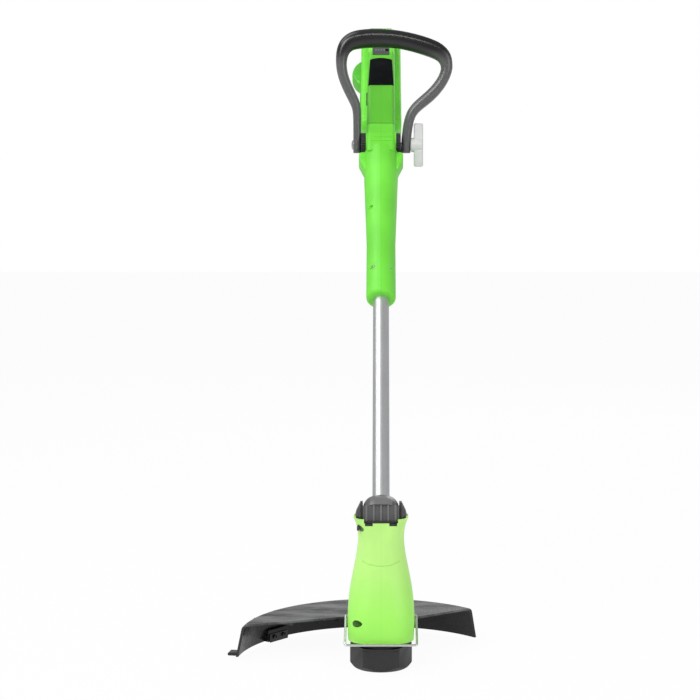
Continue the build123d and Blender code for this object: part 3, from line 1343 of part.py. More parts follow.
def latch_lens(grow):
    """Rounded paddle of the battery latch on the left flank of the battery foot."""
    flank = -BATTERY_BODY_W / 2
    middle = pack_centre_y() - 2
    half_s, half_y = LATCH_L / 2 + grow, LATCH_H / 2 + grow
    centre = latch_centre_s()
    foot = centre - half_s - LATCH_ARM
    face = make_face(
        ThreePointArc((flank - 1.5, centre - half_s), (flank - LATCH_OUT - grow, centre),
                      (flank - 1.5, centre + half_s))
        + Polyline((flank - 1.5, centre + half_s), (flank + LATCH_SLOT, centre + half_s),
                   (flank + LATCH_SLOT, foot), (flank - 1.5, foot), (flank - 1.5, centre - half_s)))
    body = extrude(Plane.XZ * face, half_y, both=True)
    return Pos(0, middle, 0) * body


def latch_centre_s():
    """Middle of the battery latch along the shaft."""
    return pack_start_s() + LATCH_L / 2 + LATCH_START


def latch_pivot():
    """(x, s) of the latch's pin, near its front end."""
    return (-BATTERY_BODY_W / 2, latch_centre_s() - LATCH_L / 2 - LATCH_ARM + 6)


def battery_latch():
    """Green latch paddle that turns on a pin near its front end."""
    body = latch_lens(0)
    rims = body.faces().filter_by(Axis.Y).edges().filter_by(GeomType.CIRCLE)
    body = fillet(rims, 4.0)
    x, s = latch_pivot()
    return in_shaft(body - disc(LATCH_PIN_D / 2 + FIT, 0, 200, at=(x, s), axis="Y"))


def latch_slot():
    """Recess of the latch in the left wall, with the holes of its pin."""
    flank = -BATTERY_BODY_W / 2
    middle = pack_centre_y() - 2
    centre = latch_centre_s()
    half_s, half_y = LATCH_L / 2 + 0.6, LATCH_H / 2 + 0.6
    foot = centre - half_s - LATCH_ARM
    slot = block((flank - 5, -PACK_W / 2 - PACK_CLEAR + 0.5), (middle - half_y, middle + half_y),
                 (foot, centre + half_s))
    slot += block((flank - 5, flank + GRIP_WALL + 2.2), (middle - half_y, middle + half_y),
                  (foot, pack_start_s() - PACK_CLEAR))
    x, s = latch_pivot()
    return slot + disc(LATCH_PIN_D / 2 + FIT, middle - half_y - 5, middle + half_y + 5, at=(x, s), axis="Y")


def latch_pin():
    """Pin of the battery latch."""
    x, s = latch_pivot()
    middle = pack_centre_y() - 2
    half = LATCH_H / 2 + 4
    return in_shaft(disc(LATCH_PIN_D / 2, middle - half, middle + half, at=(x, s), axis="Y"))


# ---------------------------------------------------------------- tilt lock
def tilt_lock_button():
    """Round button at the back of the head, with the stem that frees the tilt joint."""
    face = WAIST_D / 2 + LOCK_BUTTON_PROUD
    inner = FORK_DEPTH + GAP
    body = disc(LOCK_BUTTON_D / 2, inner, face, at=(0, LOCK_BUTTON_Z), axis="Y")
    body = fillet(body.edges().sort_by(Axis.Y)[-1:], 1.5)
    return body + disc(LOCK_STEM_D / 2, LOCK_BORE_Y - 6, inner, at=(0, LOCK_BUTTON_Z), axis="Y")


def tilt_lock_spring():
    """Spring round the button's stem, in the fork."""
    height = FORK_DEPTH + GAP - LOCK_BORE_Y - 2 * SEAT
    spring = coil(LOCK_SPRING_R, SPRING_WIRE, height, 4)
    return Pos(0, LOCK_BORE_Y + SEAT, LOCK_BUTTON_Z) * (Rot(-90, 0, 0) * spring)


# ---------------------------------------------------------------- write the pieces
def nodes():
    """Every piece by its node name."""
    head_left, head_right = motor_housing()
    grip_left, grip_right = grip_housing()
    case_upper, case_lower = battery_case()
    return {
        "shaft_tube": shaft_tube(),
        "power_cable": power_cable(),
        "cable_clamp": cable_clamp(),
        "tilt_knuckle": knuckle(),
        "tilt_fork": fork(),
        "tilt_pin": tilt_pin(),
        "motor_housing_left": head_left,
        "motor_housing_right": head_right,
        "head_screws": head_screws(),
        "motor_can": motor_can(),
        "motor_magnets": motor_magnets(),
        "motor_end_cap": motor_end_cap(),
        "lower_bearing": bearing(MOTOR_Z + 1),
        "upper_bearing": bearing(MOTOR_Z + MOTOR_L),
        "rotor": rotor(),
        "cooling_fan": cooling_fan(),
        "mounting_plate": mounting_plate(),
        "motor_screws": motor_screws(),
        "motor_leads": motor_leads(),
        "drive_hub": drive_hub(),
        "spool_base": spool_base(),
        "spool_cap": spool_cap(),
        "line_eyelets": line_eyelets(),
        "spool_reel": spool_reel(),
        "wound_line": wound_line(),
        "spool_spring": spool_spring(),
        "guard": guard(),
        "guard_screws": guard_screws(),
        "line_cutter": line_cutter(),
        "cutter_screws": cutter_screws(),
        "edge_guide_wire": edge_guide_wire(),
        "grip_housing_left": grip_left,
        "grip_housing_right": grip_right,
        "housing_screws": housing_screws(),
        "grip_pad": grip_pad(),
        "charge_gauge": charge_gauge(),
        "loop_handle": loop_handle(),
        "loop_disc_left": loop_disc(-1),
        "loop_disc_right": loop_disc(1),
        "loop_bolt": loop_bolt(),
        "clamp_knob": clamp_knob(),
        "knob_nut": knob_nut(),
        "trigger": trigger(),
        "trigger_pin": trigger_pin(),
        "trigger_spring": trigger_spring(),
        "power_switch": power_switch(),
        "lock_off_button": lock_off_button(),
        "lock_off_spring": lock_off_spring(),
        "control_board": control_board(),
        "terminal_block": terminal_block(),
        "battery_case_upper": case_upper,
        "battery_case_lower": case_lower,
        "battery_cells": battery_cells(),
        "battery_latch": battery_latch(),
        "latch_pin": latch_pin(),
        "tilt_lock_button": tilt_lock_button(),
        "tilt_lock_spring": tilt_lock_spring(),
    }


os.makedirs("parts", exist_ok=True)
for name, shape in nodes().items():
    export_step(shape, f"parts/{name}.step")
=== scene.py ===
"""Looks of a cordless string trimmer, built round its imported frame."""

import json
import logging
import math
from dataclasses import dataclass
from enum import Enum
from typing import Any, Callable, Optional, Sequence

import bmesh
import bpy
from mathutils import Matrix, Vector

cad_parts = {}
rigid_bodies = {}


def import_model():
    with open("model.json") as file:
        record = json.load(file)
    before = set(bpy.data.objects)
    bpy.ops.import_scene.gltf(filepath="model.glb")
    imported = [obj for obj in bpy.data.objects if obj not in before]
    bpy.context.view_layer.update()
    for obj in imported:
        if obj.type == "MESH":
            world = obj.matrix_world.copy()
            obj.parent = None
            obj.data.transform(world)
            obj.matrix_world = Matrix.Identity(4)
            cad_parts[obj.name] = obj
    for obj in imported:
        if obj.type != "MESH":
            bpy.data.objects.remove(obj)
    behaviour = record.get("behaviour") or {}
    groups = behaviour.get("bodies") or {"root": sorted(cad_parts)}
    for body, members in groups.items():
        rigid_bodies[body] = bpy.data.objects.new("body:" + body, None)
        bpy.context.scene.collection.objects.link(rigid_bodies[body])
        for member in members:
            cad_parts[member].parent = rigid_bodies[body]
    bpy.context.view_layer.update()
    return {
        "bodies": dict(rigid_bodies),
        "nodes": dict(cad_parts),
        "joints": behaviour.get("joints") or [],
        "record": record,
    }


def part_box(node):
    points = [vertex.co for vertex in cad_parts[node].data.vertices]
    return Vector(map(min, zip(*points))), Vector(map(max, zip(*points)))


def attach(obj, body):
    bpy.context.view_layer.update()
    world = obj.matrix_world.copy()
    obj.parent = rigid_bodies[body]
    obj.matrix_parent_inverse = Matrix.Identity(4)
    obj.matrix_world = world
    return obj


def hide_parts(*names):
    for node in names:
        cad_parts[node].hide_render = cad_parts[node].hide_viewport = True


logging.basicConfig(level=logging.INFO, format="%(name)s: %(message)s")
LOG = logging.getLogger("trimmer")

Pair = tuple[float, float]
Triple = tuple[float, float, float]
Palette = dict[str, bpy.types.Material]

# The shaft leans back by 45 degrees from the tilt pin, whose height is in metres.
TILT_HEIGHT = 0.188
SLOPE = math.sqrt(0.5)
SHAFT = Matrix.Translation((0.0, 0.0, TILT_HEIGHT)) @ Matrix.Rotation(math.radians(-45.0), 4, "X")

# Half the width of the line between two mouldings, in metres.
SEAM = 0.00022
# Radius that stands for the axis of a turned piece, in millimetres.
AXIS = 0.001
# Millimetres in a metre.
MM = 1000.0

LEFT = (-1.0, 0.0, 0.0)
RIGHT = (1.0, 0.0, 0.0)
FRONT = (0.0, -1.0, 0.0)
BACK = (0.0, 1.0, 0.0)
UP = (0.0, 0.0, 1.0)


# ---- shader maths
class Sock:
    """One output socket, or a number, that takes part in shader maths."""

    def __init__(self, graph: "Graph", value: Any) -> None:
        """Keeps the graph and the socket.

        Args:
            graph: The node graph.
            value: A node socket or a plain number.
        """
        self.graph = graph
        self.value = value

    def _math(self, operation: str, *others: Any, clamp: bool = False) -> "Sock":
        """Adds one Math node.

        Args:
            operation: Name of the Math node's operation.
            others: Further operands.
            clamp: Keeps the result between 0 and 1.

        Returns:
            The node's result.
        """
        settings = {"operation": operation, "use_clamp": clamp}
        return self.graph.node("ShaderNodeMath", settings, dict(enumerate((self, *others))))

    def __add__(self, other: Any) -> "Sock":
        """Sum."""
        return self._math("ADD", other)

    def __sub__(self, other: Any) -> "Sock":
        """Difference."""
        return self._math("SUBTRACT", other)

    def __rsub__(self, other: Any) -> "Sock":
        """Difference with the number first."""
        return Sock(self.graph, other)._math("SUBTRACT", self)

    def __mul__(self, other: Any) -> "Sock":
        """Product."""
        return self._math("MULTIPLY", other)

    def clamp(self) -> "Sock":
        """The value kept between 0 and 1."""
        return self._math("ADD", 0.0, clamp=True)

    def absolute(self) -> "Sock":
        """The value without its sign."""
        return self._math("ABSOLUTE")

    def root(self) -> "Sock":
        """The square root of the value."""
        return self._math("SQRT")

    def ramp(self, low: float, high: float) -> "Sock":
        """Smooth step from 0 at low to 1 at high.

        Args:
            low: Value that gives 0.
            high: Value that gives 1.

        Returns:
            The stepped value.
        """
        return self.graph.node("ShaderNodeMapRange", {"interpolation_type": "SMOOTHSTEP"},
                               {"Value": self, "From Min": low, "From Max": high})


class Graph:
    """Node graph of a material, of the world or of a geometry group."""

    def __init__(self, name: str, owner: Any = None) -> None:
        """Empties the owner's nodes.

        Args:
            name: Name of the material that is made where no owner is given.
            owner: A world or a node group.
        """
        self.owner = owner or bpy.data.materials.new(name)
        if isinstance(self.owner, bpy.types.NodeTree):
            self.tree = self.owner
        else:
            self.owner.use_nodes = True
            self.tree = self.owner.node_tree
        self.tree.nodes.clear()

    def node(self, kind: str, settings: Optional[dict[str, Any]] = None,
             inputs: Optional[dict[Any, Any]] = None, output: Any = 0) -> Sock:
        """Adds a node, sets it and links it.

        Args:
            kind: The node's type.
            settings: Values of its own properties, set first.
            inputs: Values or links of its sockets, by name or number.
            output: Name or number of the output that is returned.

        Returns:
            The chosen output, empty on a node that ends the graph.
        """
        made = self.tree.nodes.new(kind)
        for key, value in (settings or {}).items():
            setattr(made, key, value)
        for key, value in (inputs or {}).items():
            self._feed(made.inputs[key], value)
        return Sock(self, made.outputs[output] if made.outputs else None)

    def _feed(self, socket: Any, value: Any) -> None:
        """Links or sets one input socket.

        Args:
            socket: The input.
            value: A Sock, a number or a tuple.
        """
        inner = value.value if isinstance(value, Sock) else value
        if isinstance(inner, bpy.types.NodeSocket):
            self.tree.links.new(inner, socket)
        elif socket.type == "RGBA":
            socket.default_value = (*inner, 1.0)
        else:
            socket.default_value = inner

    def place(self, scale: Triple = (1.0, 1.0, 1.0), turn: Triple = (0.0, 0.0, 0.0)) -> Sock:
        """Object coordinates, turned and stretched.

        Args:
            scale: Stretch along each axis.
            turn: Rotation in degrees.

        Returns:
            The coordinates.
        """
        place = self.node("ShaderNodeTexCoord", output="Object")
        angles = tuple(math.radians(value) for value in turn)
        return self.node("ShaderNodeMapping", {},
                         {"Vector": place, "Rotation": angles, "Scale": scale})

    def split(self, vector: Sock) -> tuple[Sock, ...]:
        """The three parts of a vector.

        Args:
            vector: The vector.

        Returns:
            Its X, Y and Z.
        """
        parts = self.node("ShaderNodeSeparateXYZ", {}, {0: vector}).value.node.outputs
        return tuple(Sock(self, part) for part in parts)

    def noise(self, vector: Sock, scale: float, detail: float = 3.0, rough: float = 0.5) -> Sock:
        """Noise between 0 and 1.

        Args:
            vector: Where the noise is read.
            scale: Its cells per metre.
            detail: Its octaves.
            rough: Share of each finer octave.

        Returns:
            The noise value.
        """
        return self.node("ShaderNodeTexNoise", {},
                         {"Vector": vector, "Scale": scale, "Detail": detail, "Roughness": rough})

    def mix(self, factor: Any, low: Any, high: Any) -> Sock:
        """Mix of two colours.

        Args:
            factor: 0 gives low and 1 gives high.
            low: First colour.
            high: Second colour.

        Returns:
            The mixed colour.
        """
        return self.node("ShaderNodeMix", {"data_type": "RGBA"}, {0: factor, 6: low, 7: high}, 2)

    def bump(self, height: Sock, distance: float, strength: float = 1.0,
             normal: Optional[Sock] = None) -> Sock:
        """Normal of a height field.

        Args:
            height: Height between 0 and 1.
            distance: Height of a full step in metres.
            strength: Strength of the effect.
            normal: A normal to build on.

        Returns:
            The bumped normal.
        """
        inputs = {"Height": height, "Distance": distance, "Strength": strength}
        if normal is not None:
            inputs["Normal"] = normal
        return self.node("ShaderNodeBump", {}, inputs)

    def surface(self, **inputs: Any) -> bpy.types.Material:
        """Ends the graph with a Principled shader.

        Args:
            inputs: Its sockets, with underscores in place of spaces.

        Returns:
            The finished material.
        """
        sockets = {key.replace("_", " "): value for key, value in inputs.items()}
        return self.end(self.node("ShaderNodeBsdfPrincipled", {}, sockets))

    def end(self, last: Sock, kind: str = "ShaderNodeOutputMaterial") -> Any:
        """Links the last node to the graph's output.

        Args:
            last: What the graph gives.
            kind: The output node's type.

        Returns:
            The finished owner.
        """
        self.node(kind, {}, {0: last})
        return self.owner


def seam_line(x: Sock, tone: float) -> Sock:
    """Dark line where a left and a right moulding meet.

    Args:
        x: Place across the tool.
        tone: How dark the line is.

    Returns:
        Its darkness.
    """
    return (1.0 - x.absolute().ramp(SEAM * 0.4, SEAM)) * tone


# ---- finishes
class Direction(Enum):
    """Way in which a brushed or drawn surface is worked, as a turn in degrees."""

    UPRIGHT = (0.0, 0.0, 0.0)
    SHAFT = (45.0, 0.0, 0.0)


@dataclass(frozen=True)
class MouldedPlastic:
    """Injection moulded plastic with a spark eroded grain, faint clouds and scuffs."""

    name: str
    colour: Triple
    rough: float = 0.42
    grain: float = 2400.0
    relief: float = 0.00006
    warp: float = 0.0002
    mottling: float = 0.06
    scuffs: float = 0.12
    gloss: float = 0.5
    index: float = 1.46

    def tint(self, graph: Graph, base: Sock) -> Sock:
        """The colour as it is; other mouldings change it by place.

        Args:
            graph: The material's graph; not used here.
            base: The plain colour.

        Returns:
            The colour that is used.
        """
        return base

    def build(self) -> bpy.types.Material:
        """Makes the material."""
        graph = Graph(self.name)
        place = graph.place()
        cloud = graph.noise(place, 14.0, 4.0)
        fine = graph.noise(place, self.grain, 2.0, 0.6)
        scratch = graph.noise(graph.place((40.0, 6.0, 6.0), (25.0, 40.0, 10.0)), 18.0, 5.0, 0.7)
        patch = graph.noise(place, 30.0, 3.0).ramp(0.5, 0.68)
        scuff = scratch.ramp(0.60, 0.74) * patch * self.scuffs
        shade = tuple(value * (1.0 - self.mottling) for value in self.colour)
        light = tuple(min(1.0, value * (1.0 + self.mottling) + 0.004) for value in self.colour)
        pale = tuple(min(1.0, value * 1.25 + 0.03) for value in self.colour)
        base = graph.mix(cloud.ramp(0.3, 0.7), shade, light)
        rough = fine * 0.10 + cloud * 0.06 + scuff * 0.4 + (self.rough - 0.08)
        normal = graph.bump(cloud, self.warp, 0.4, graph.bump(fine, self.relief))
        return graph.surface(Base_Color=self.tint(graph, graph.mix(scuff, base, pale)),
                             Roughness=rough.clamp(), Normal=normal, IOR=self.index,
                             Specular_IOR_Level=self.gloss)


@dataclass(frozen=True)
class LoopShell(MouldedPlastic):
    """Black loop moulding: a dark smooth hand bar on limbs painted a flecked grey, partly grain
    and partly a painted sheen.
    """

    # Grey of the limbs: a painted sheen.
    painted_limb_sheen: Triple = (0.125, 0.125, 0.128)
    bar_from: float = 0.785
    bar_to: float = 0.812

    def tint(self, graph: Graph, base: Sock) -> Sock:
        """Lightens the limbs below the hand bar with a flecked painted sheen.

        Args:
            graph: The material's graph.
            base: The plain colour.

        Returns:
            The colour with the painted sheen on its limbs.
        """
        place = graph.place()
        fleck = graph.noise(place, 900.0, 3.0, 0.7)
        # Painted sheen: the limbs below the hand bar are lighter, flecked with grain.
        limb = 1.0 - graph.split(place)[2].ramp(self.bar_from, self.bar_to)
        return graph.mix((limb * (fleck.ramp(0.3, 0.7) * 0.6 + 0.5)).clamp(), base, self.painted_limb_sheen)


@dataclass(frozen=True)
class HeadShell(MouldedPlastic):
    """Green moulding of the motor head, with painted shade that deepens its green below and
    painted shade in the screw wells on its left.

    Each well is the Y and Z of its centre and its radius, in metres.
    """

    wells: tuple[Triple, ...] = ((-0.0392, 0.063, 0.0044), (0.0392, 0.063, 0.0044),
                                 (-0.025, 0.180, 0.0044))
    well_from: float = -0.014
    well_to: float = -0.013
    # Painted shade inside the screw wells.
    well_shade_tone: float = 0.86
    well_shade_colour: Triple = (0.01, 0.05, 0.006)
    # Deeper green of the painted shade towards the bottom.
    deep: Triple = (0.34, 0.97, 0.092)
    painted_shade_tone: float = 0.8
    painted_shade_below: float = 0.045
    unshaded_above: float = 0.150

    def tint(self, graph: Graph, base: Sock) -> Sock:
        """Paints shade low on the head and in the screw wells, and darkens the parting line.

        Args:
            graph: The material's graph.
            base: The plain colour.

        Returns:
            The colour with its painted shade and its parting line.
        """
        x, y, z = graph.split(graph.place())
        # Painted shade: the green deepens towards the bottom.
        low = 1.0 - z.ramp(self.painted_shade_below, self.unshaded_above)
        base = graph.mix(low * self.painted_shade_tone, base, self.deep)
        # Painted shade inside the screw wells on the left side.
        outer = (1.0 - x.ramp(self.well_from, self.well_to)) * self.well_shade_tone
        dark = seam_line(x, 0.16)
        for centre_y, centre_z, radius in self.wells:
            across, height = y - centre_y, z - centre_z
            reach = (across * across + height * height).root()
            dark = dark + (1.0 - reach.ramp(radius * 0.96, radius)) * outer
        return graph.mix(dark.clamp(), base, self.well_shade_colour)


@dataclass(frozen=True)
class KnuckleShell(MouldedPlastic):
    """Moulding of the tilting knuckle, with painted shade in the grooves between its ribs."""

    barrel: float = 0.0259
    rib: float = 0.0265
    # Colour of the painted shade in the grooves.
    groove_shade: Triple = (0.070, 0.070, 0.072)
    groove_shade_tone: float = 0.7

    def tint(self, graph: Graph, base: Sock) -> Sock:
        """Darkens the barrel between its ribs with painted shade.

        Args:
            graph: The material's graph.
            base: The plain colour.

        Returns:
            The colour with painted shade in its grooves.
        """
        _, y, z = graph.split(graph.place())
        height = z - TILT_HEIGHT
        radius = (y * y + height * height).root()
        # Painted shade on the barrel, inside the radius of the ribs.
        groove = (1.0 - radius.ramp(self.barrel, self.rib)) * self.groove_shade_tone
        return graph.mix(groove, base, self.groove_shade)


@dataclass(frozen=True)
class GripShell(MouldedPlastic):
    """Green moulding of the grip, deeper in tone on its front panel, with a painted shadow line at
    the panel's end towards the head and its parting line.

    The panel's limits are lengths along the shaft from the tilt pin, in metres.
    """

    panel: Triple = (0.115, 0.56, 0.026)
    panel_from: float = 0.703
    panel_to: float = 0.862
    fade_low: float = 0.0012
    fade_high: float = 0.012
    front: float = -0.0150
    # Colour of the parting line and of the painted shadow line.
    seam_and_shadow_colour: Triple = (0.01, 0.09, 0.006)

    def tint(self, graph: Graph, base: Sock) -> Sock:
        """Deepens the front panel, paints a shadow line at its end towards the head and darkens
        the parting line.

        Args:
            graph: The material's graph.
            base: The plain colour.

        Returns:
            The colour with its panel, its painted shadow line and its parting line.
        """
        x, y, z = graph.split(graph.place())
        height = z - TILT_HEIGHT
        along, across = (y + height) * SLOPE, (y - height) * SLOPE
        front = 1.0 - across.ramp(self.front - 0.0008, self.front)
        above = along.ramp(self.panel_from, self.panel_from + self.fade_low)
        below = 1.0 - along.ramp(self.panel_to, self.panel_to + self.fade_high)
        toned = graph.mix(above * below * front, base, self.panel)
        # Painted shadow line across the front, at the panel's end towards the head.
        edge = 1.0 - (along - (self.panel_from + 0.0002)).absolute().ramp(0.0004, 0.0014)
        dark = (seam_line(x, 0.4) + edge * 0.55 * front).clamp()
        return graph.mix(dark, toned, self.seam_and_shadow_colour)


@dataclass(frozen=True)
class WorkedMetal:
    """Bare metal with the fine lines of brushing, drawing or turning."""

    name: str
    colour: Triple
    rough: float
    direction: Direction = Direction.UPRIGHT
    lines: float = 900.0
    stretch: float = 0.012
    relief: float = 0.00003

    def build(self) -> bpy.types.Material:
        """Makes the material."""
        graph = Graph(self.name)
        stretched = graph.place((1.0, 1.0, self.stretch), self.direction.value)
        streak = graph.noise(stretched, self.lines, 3.0, 0.65)
        broad = graph.noise(graph.place(), 22.0, 3.0)
        dull = tuple(value * 0.86 for value in self.colour)
        base = graph.mix(streak.ramp(0.35, 0.65) * 0.7 + broad * 0.3, dull, self.colour)
        rough = streak * 0.16 + broad * 0.10 + (self.rough - 0.13)
        return graph.surface(Base_Color=base, Metallic=1.0, Roughness=rough.clamp(),
                             Normal=graph.bump(streak, self.relief))


@dataclass(frozen=True)
class SoftMoulding:
    """Rubbery overmoulding with a fine dimpled texture."""

    name: str
    colour: Triple
    dimples: float = 700.0
    relief: float = 0.0001
    rough: float = 0.62
    gloss: float = 0.05

    def build(self) -> bpy.types.Material:
        """Makes the material."""
        graph = Graph(self.name)
        place = graph.place()
        cells = graph.node("ShaderNodeTexVoronoi", {"feature": "F1"},
                           {"Vector": place, "Scale": self.dimples})
        dust = graph.noise(place, 60.0, 4.0)
        dusty = tuple(value * 1.7 + 0.003 for value in self.colour)
        base = graph.mix(dust.ramp(0.45, 0.75) * 0.6, self.colour, dusty)
        return graph.surface(Base_Color=base, Roughness=(dust * 0.12 + self.rough).clamp(),
                             Normal=graph.bump(cells.ramp(0.1, 0.6), self.relief),
                             Specular_IOR_Level=self.gloss)


@dataclass(frozen=True)
class StreakedPlastic:
    """Dark polished plate whose top has pale patches painted into its colour as a painted sheen;
    its polish varies with the same patches.
    """

    name: str
    colour: Triple
    # Colour of the painted sheen.
    pale: Triple
    polish: float = 0.12
    dulling: float = 0.28
    gloss: float = 0.42
    top: float = 0.0445
    grain: float = 2200.0
    relief: float = 0.00003

    def build(self) -> bpy.types.Material:
        """Makes the material."""
        graph = Graph(self.name)
        place = graph.place()
        flow_and_sheen = graph.noise(graph.place((0.3, 1.0, 1.0)), 45.0, 6.0, 0.62).ramp(0.36, 0.66)
        fleck = graph.noise(place, 700.0, 3.0, 0.7).ramp(0.42, 0.74)
        dull = (1.0 - flow_and_sheen) * 0.75 + fleck * 0.25
        top = graph.split(place)[2].ramp(self.top - 0.002, self.top) * 0.9 + 0.1
        # Painted sheen: pale patches of flow and fleck, mostly on the top.
        patch = ((flow_and_sheen * 0.75 + fleck * 0.15) * top).clamp()
        return graph.surface(Base_Color=graph.mix(patch, self.colour, self.pale),
                             Roughness=(dull * self.dulling + self.polish).clamp(),
                             Normal=graph.bump(graph.noise(place, self.grain, 2.0), self.relief),
                             Specular_IOR_Level=self.gloss)


@dataclass(frozen=True)
class WoundLine:
    """Nylon line wound in close turns."""

    name: str
    colour: Triple
    pitch: float = 0.0024

    def build(self) -> bpy.types.Material:
        """Makes the material."""
        graph = Graph(self.name)
        turns = graph.node("ShaderNodeTexWave", {"wave_type": "BANDS", "bands_direction": "Z"},
                           {"Vector": graph.place(), "Scale": 0.314 / self.pitch})
        base = graph.mix(turns, tuple(value * 0.6 for value in self.colour), self.colour)
        return graph.surface(Base_Color=base, Roughness=turns * 0.1 + 0.3,
                             Normal=graph.bump(turns, self.pitch / 4))


def palette() -> Palette:
    """Builds every finish of the trimmer once.

    Returns:
        The materials by the record's slots, or by the node or piece that has its own.
    """
    plastic, metal = MouldedPlastic, WorkedMetal
    recipes = {
        "green_shell": GripShell("grip_green", (0.165, 0.735, 0.045)),
        "black_plastic": plastic("black_moulding", (0.014, 0.014, 0.015), 0.38, scuffs=0.2,
                                 gloss=0.3),
        "grey_knob": plastic("knob_grey", (0.66, 0.67, 0.66), 0.45),
        "grey_window": plastic("smoked_window", (0.085, 0.09, 0.09), 0.22, gloss=0.3),
        "soft_pad": SoftMoulding("soft_pad", (0.005, 0.006, 0.007)),
        "tube_aluminium": metal("brushed_tube", (0.72, 0.73, 0.74), 0.42, Direction.SHAFT),
        "bright_steel": metal("bright_wire", (0.80, 0.81, 0.82), 0.16),
        "steel": metal("plain_steel", (0.55, 0.55, 0.56), 0.34),
        "brass_fitting": metal("turned_brass", (0.78, 0.58, 0.26), 0.28),
        "line_green": WoundLine("wound_line", (0.55, 0.72, 0.10)),
        "board": plastic("board_green", (0.02, 0.14, 0.06), 0.4),
        "cell_sleeve": plastic("cell_sleeve", (0.05, 0.10, 0.26), 0.3),
        "cable_sheath": plastic("cable_sheath", (0.03, 0.03, 0.032), 0.5),
        "head": HeadShell("head_green", (0.54, 0.99, 0.24), 0.40),
        "guard": StreakedPlastic("guard_plate", (0.016, 0.016, 0.017), (0.21, 0.212, 0.216)),
        "loop": LoopShell("loop_black", (0.007, 0.007, 0.008), 0.17, gloss=0.6),
        "cap": plastic("cap_black", (0.024, 0.024, 0.025), 0.34, scuffs=0.25, gloss=0.4),
        "fork": plastic("fork_black", (0.024, 0.024, 0.025), 0.30),
        "knuckle": KnuckleShell("knuckle_black", (0.160, 0.160, 0.163), 0.28),
        "latch": plastic("latch_green", (0.095, 0.50, 0.030)),
        "charcoal": plastic("charcoal_moulding", (0.026, 0.026, 0.028)),
        "dark_steel": metal("blackened_steel", (0.10, 0.10, 0.105), 0.42),
        "light": plastic("gauge_light", (0.14, 0.18, 0.135), 0.3),
    }
    made = {name: recipe.build() for name, recipe in recipes.items()}
    made["motor_steel"] = made["steel"]
    return made


# ---- carried-over nodes
@dataclass
class FrameDresser:
    """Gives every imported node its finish, by its own name or by its slot, and soft shading."""

    frame: dict[str, Any]
    finishes: Palette
    sharpest: float = 34.0
    weld: float = 0.00001

    NODES = {
        "motor_housing_left": "head", "motor_housing_right": "head", "guard": "guard",
        "loop_handle": "loop", "loop_disc_left": "charcoal", "loop_disc_right": "charcoal",
        "tilt_fork": "fork", "tilt_knuckle": "knuckle", "battery_latch": "latch",
        "line_cutter": "dark_steel", "battery_case_upper": "charcoal",
        "battery_case_lower": "charcoal",
    }

    def _shading(self) -> bpy.types.NodeTree:
        """Geometry group that welds, shades smooth and keeps the sharper edges crisp."""
        group = bpy.data.node_groups.new("soft_shading", "GeometryNodeTree")
        for side in ("INPUT", "OUTPUT"):
            group.interface.new_socket("Geometry", in_out=side, socket_type="NodeSocketGeometry")
        graph = Graph("soft_shading", group)
        mesh = graph.node("GeometryNodeMergeByDistance", {},
                          {"Geometry": graph.node("NodeGroupInput"), "Distance": self.weld})
        bend = graph.node("GeometryNodeInputMeshEdgeAngle", output="Unsigned Angle")
        sharp = graph.node("FunctionNodeCompare",
                           {"data_type": "FLOAT", "operation": "GREATER_THAN"},
                           {"A": bend, "B": math.radians(self.sharpest)}, "Result")
        mesh = graph.node("GeometryNodeSetShadeSmooth", {}, {"Geometry": mesh})
        mesh = graph.node("GeometryNodeSetShadeSmooth", {"domain": "EDGE"},
                          {"Geometry": mesh, "Selection": sharp, "Shade Smooth": False})
        return graph.end(mesh, "NodeGroupOutput")

    def dress(self) -> None:
        """Dresses every node."""
        shading = self._shading()
        pieces = self.frame["record"]["subparts"]
        slots = {piece["node"]: piece["material_slot"] for piece in pieces}
        for name, node in self.frame["nodes"].items():
            finish = self.NODES.get(name, slots[name])
            node.data.materials.clear()
            node.data.materials.append(self.finishes[finish])
            node.modifiers.new("soft_shading", "NODES").node_group = shading
        LOG.info("dressed %d nodes", len(self.frame["nodes"]))


# ---- making pieces
@dataclass(frozen=True)
class Piece:
    """One piece by name, with its finish, its body, its slot and the nodes that it stands for."""

    name: str
    material: bpy.types.Material
    body: str
    slot: str
    replaces: tuple[str, ...] = ()

    def mount(self, data: Any) -> bpy.types.Object:
        """Makes the object of some geometry, riding on the body.

        Args:
            data: Its mesh or curve.

        Returns:
            The object.
        """
        data.materials.append(self.material)
        made = bpy.data.objects.new(self.name, data)
        bpy.context.scene.collection.objects.link(made)
        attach(made, self.body)
        if self.replaces:
            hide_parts(*self.replaces)
        LOG.info("%s on %s", self.name, self.body)
        return made


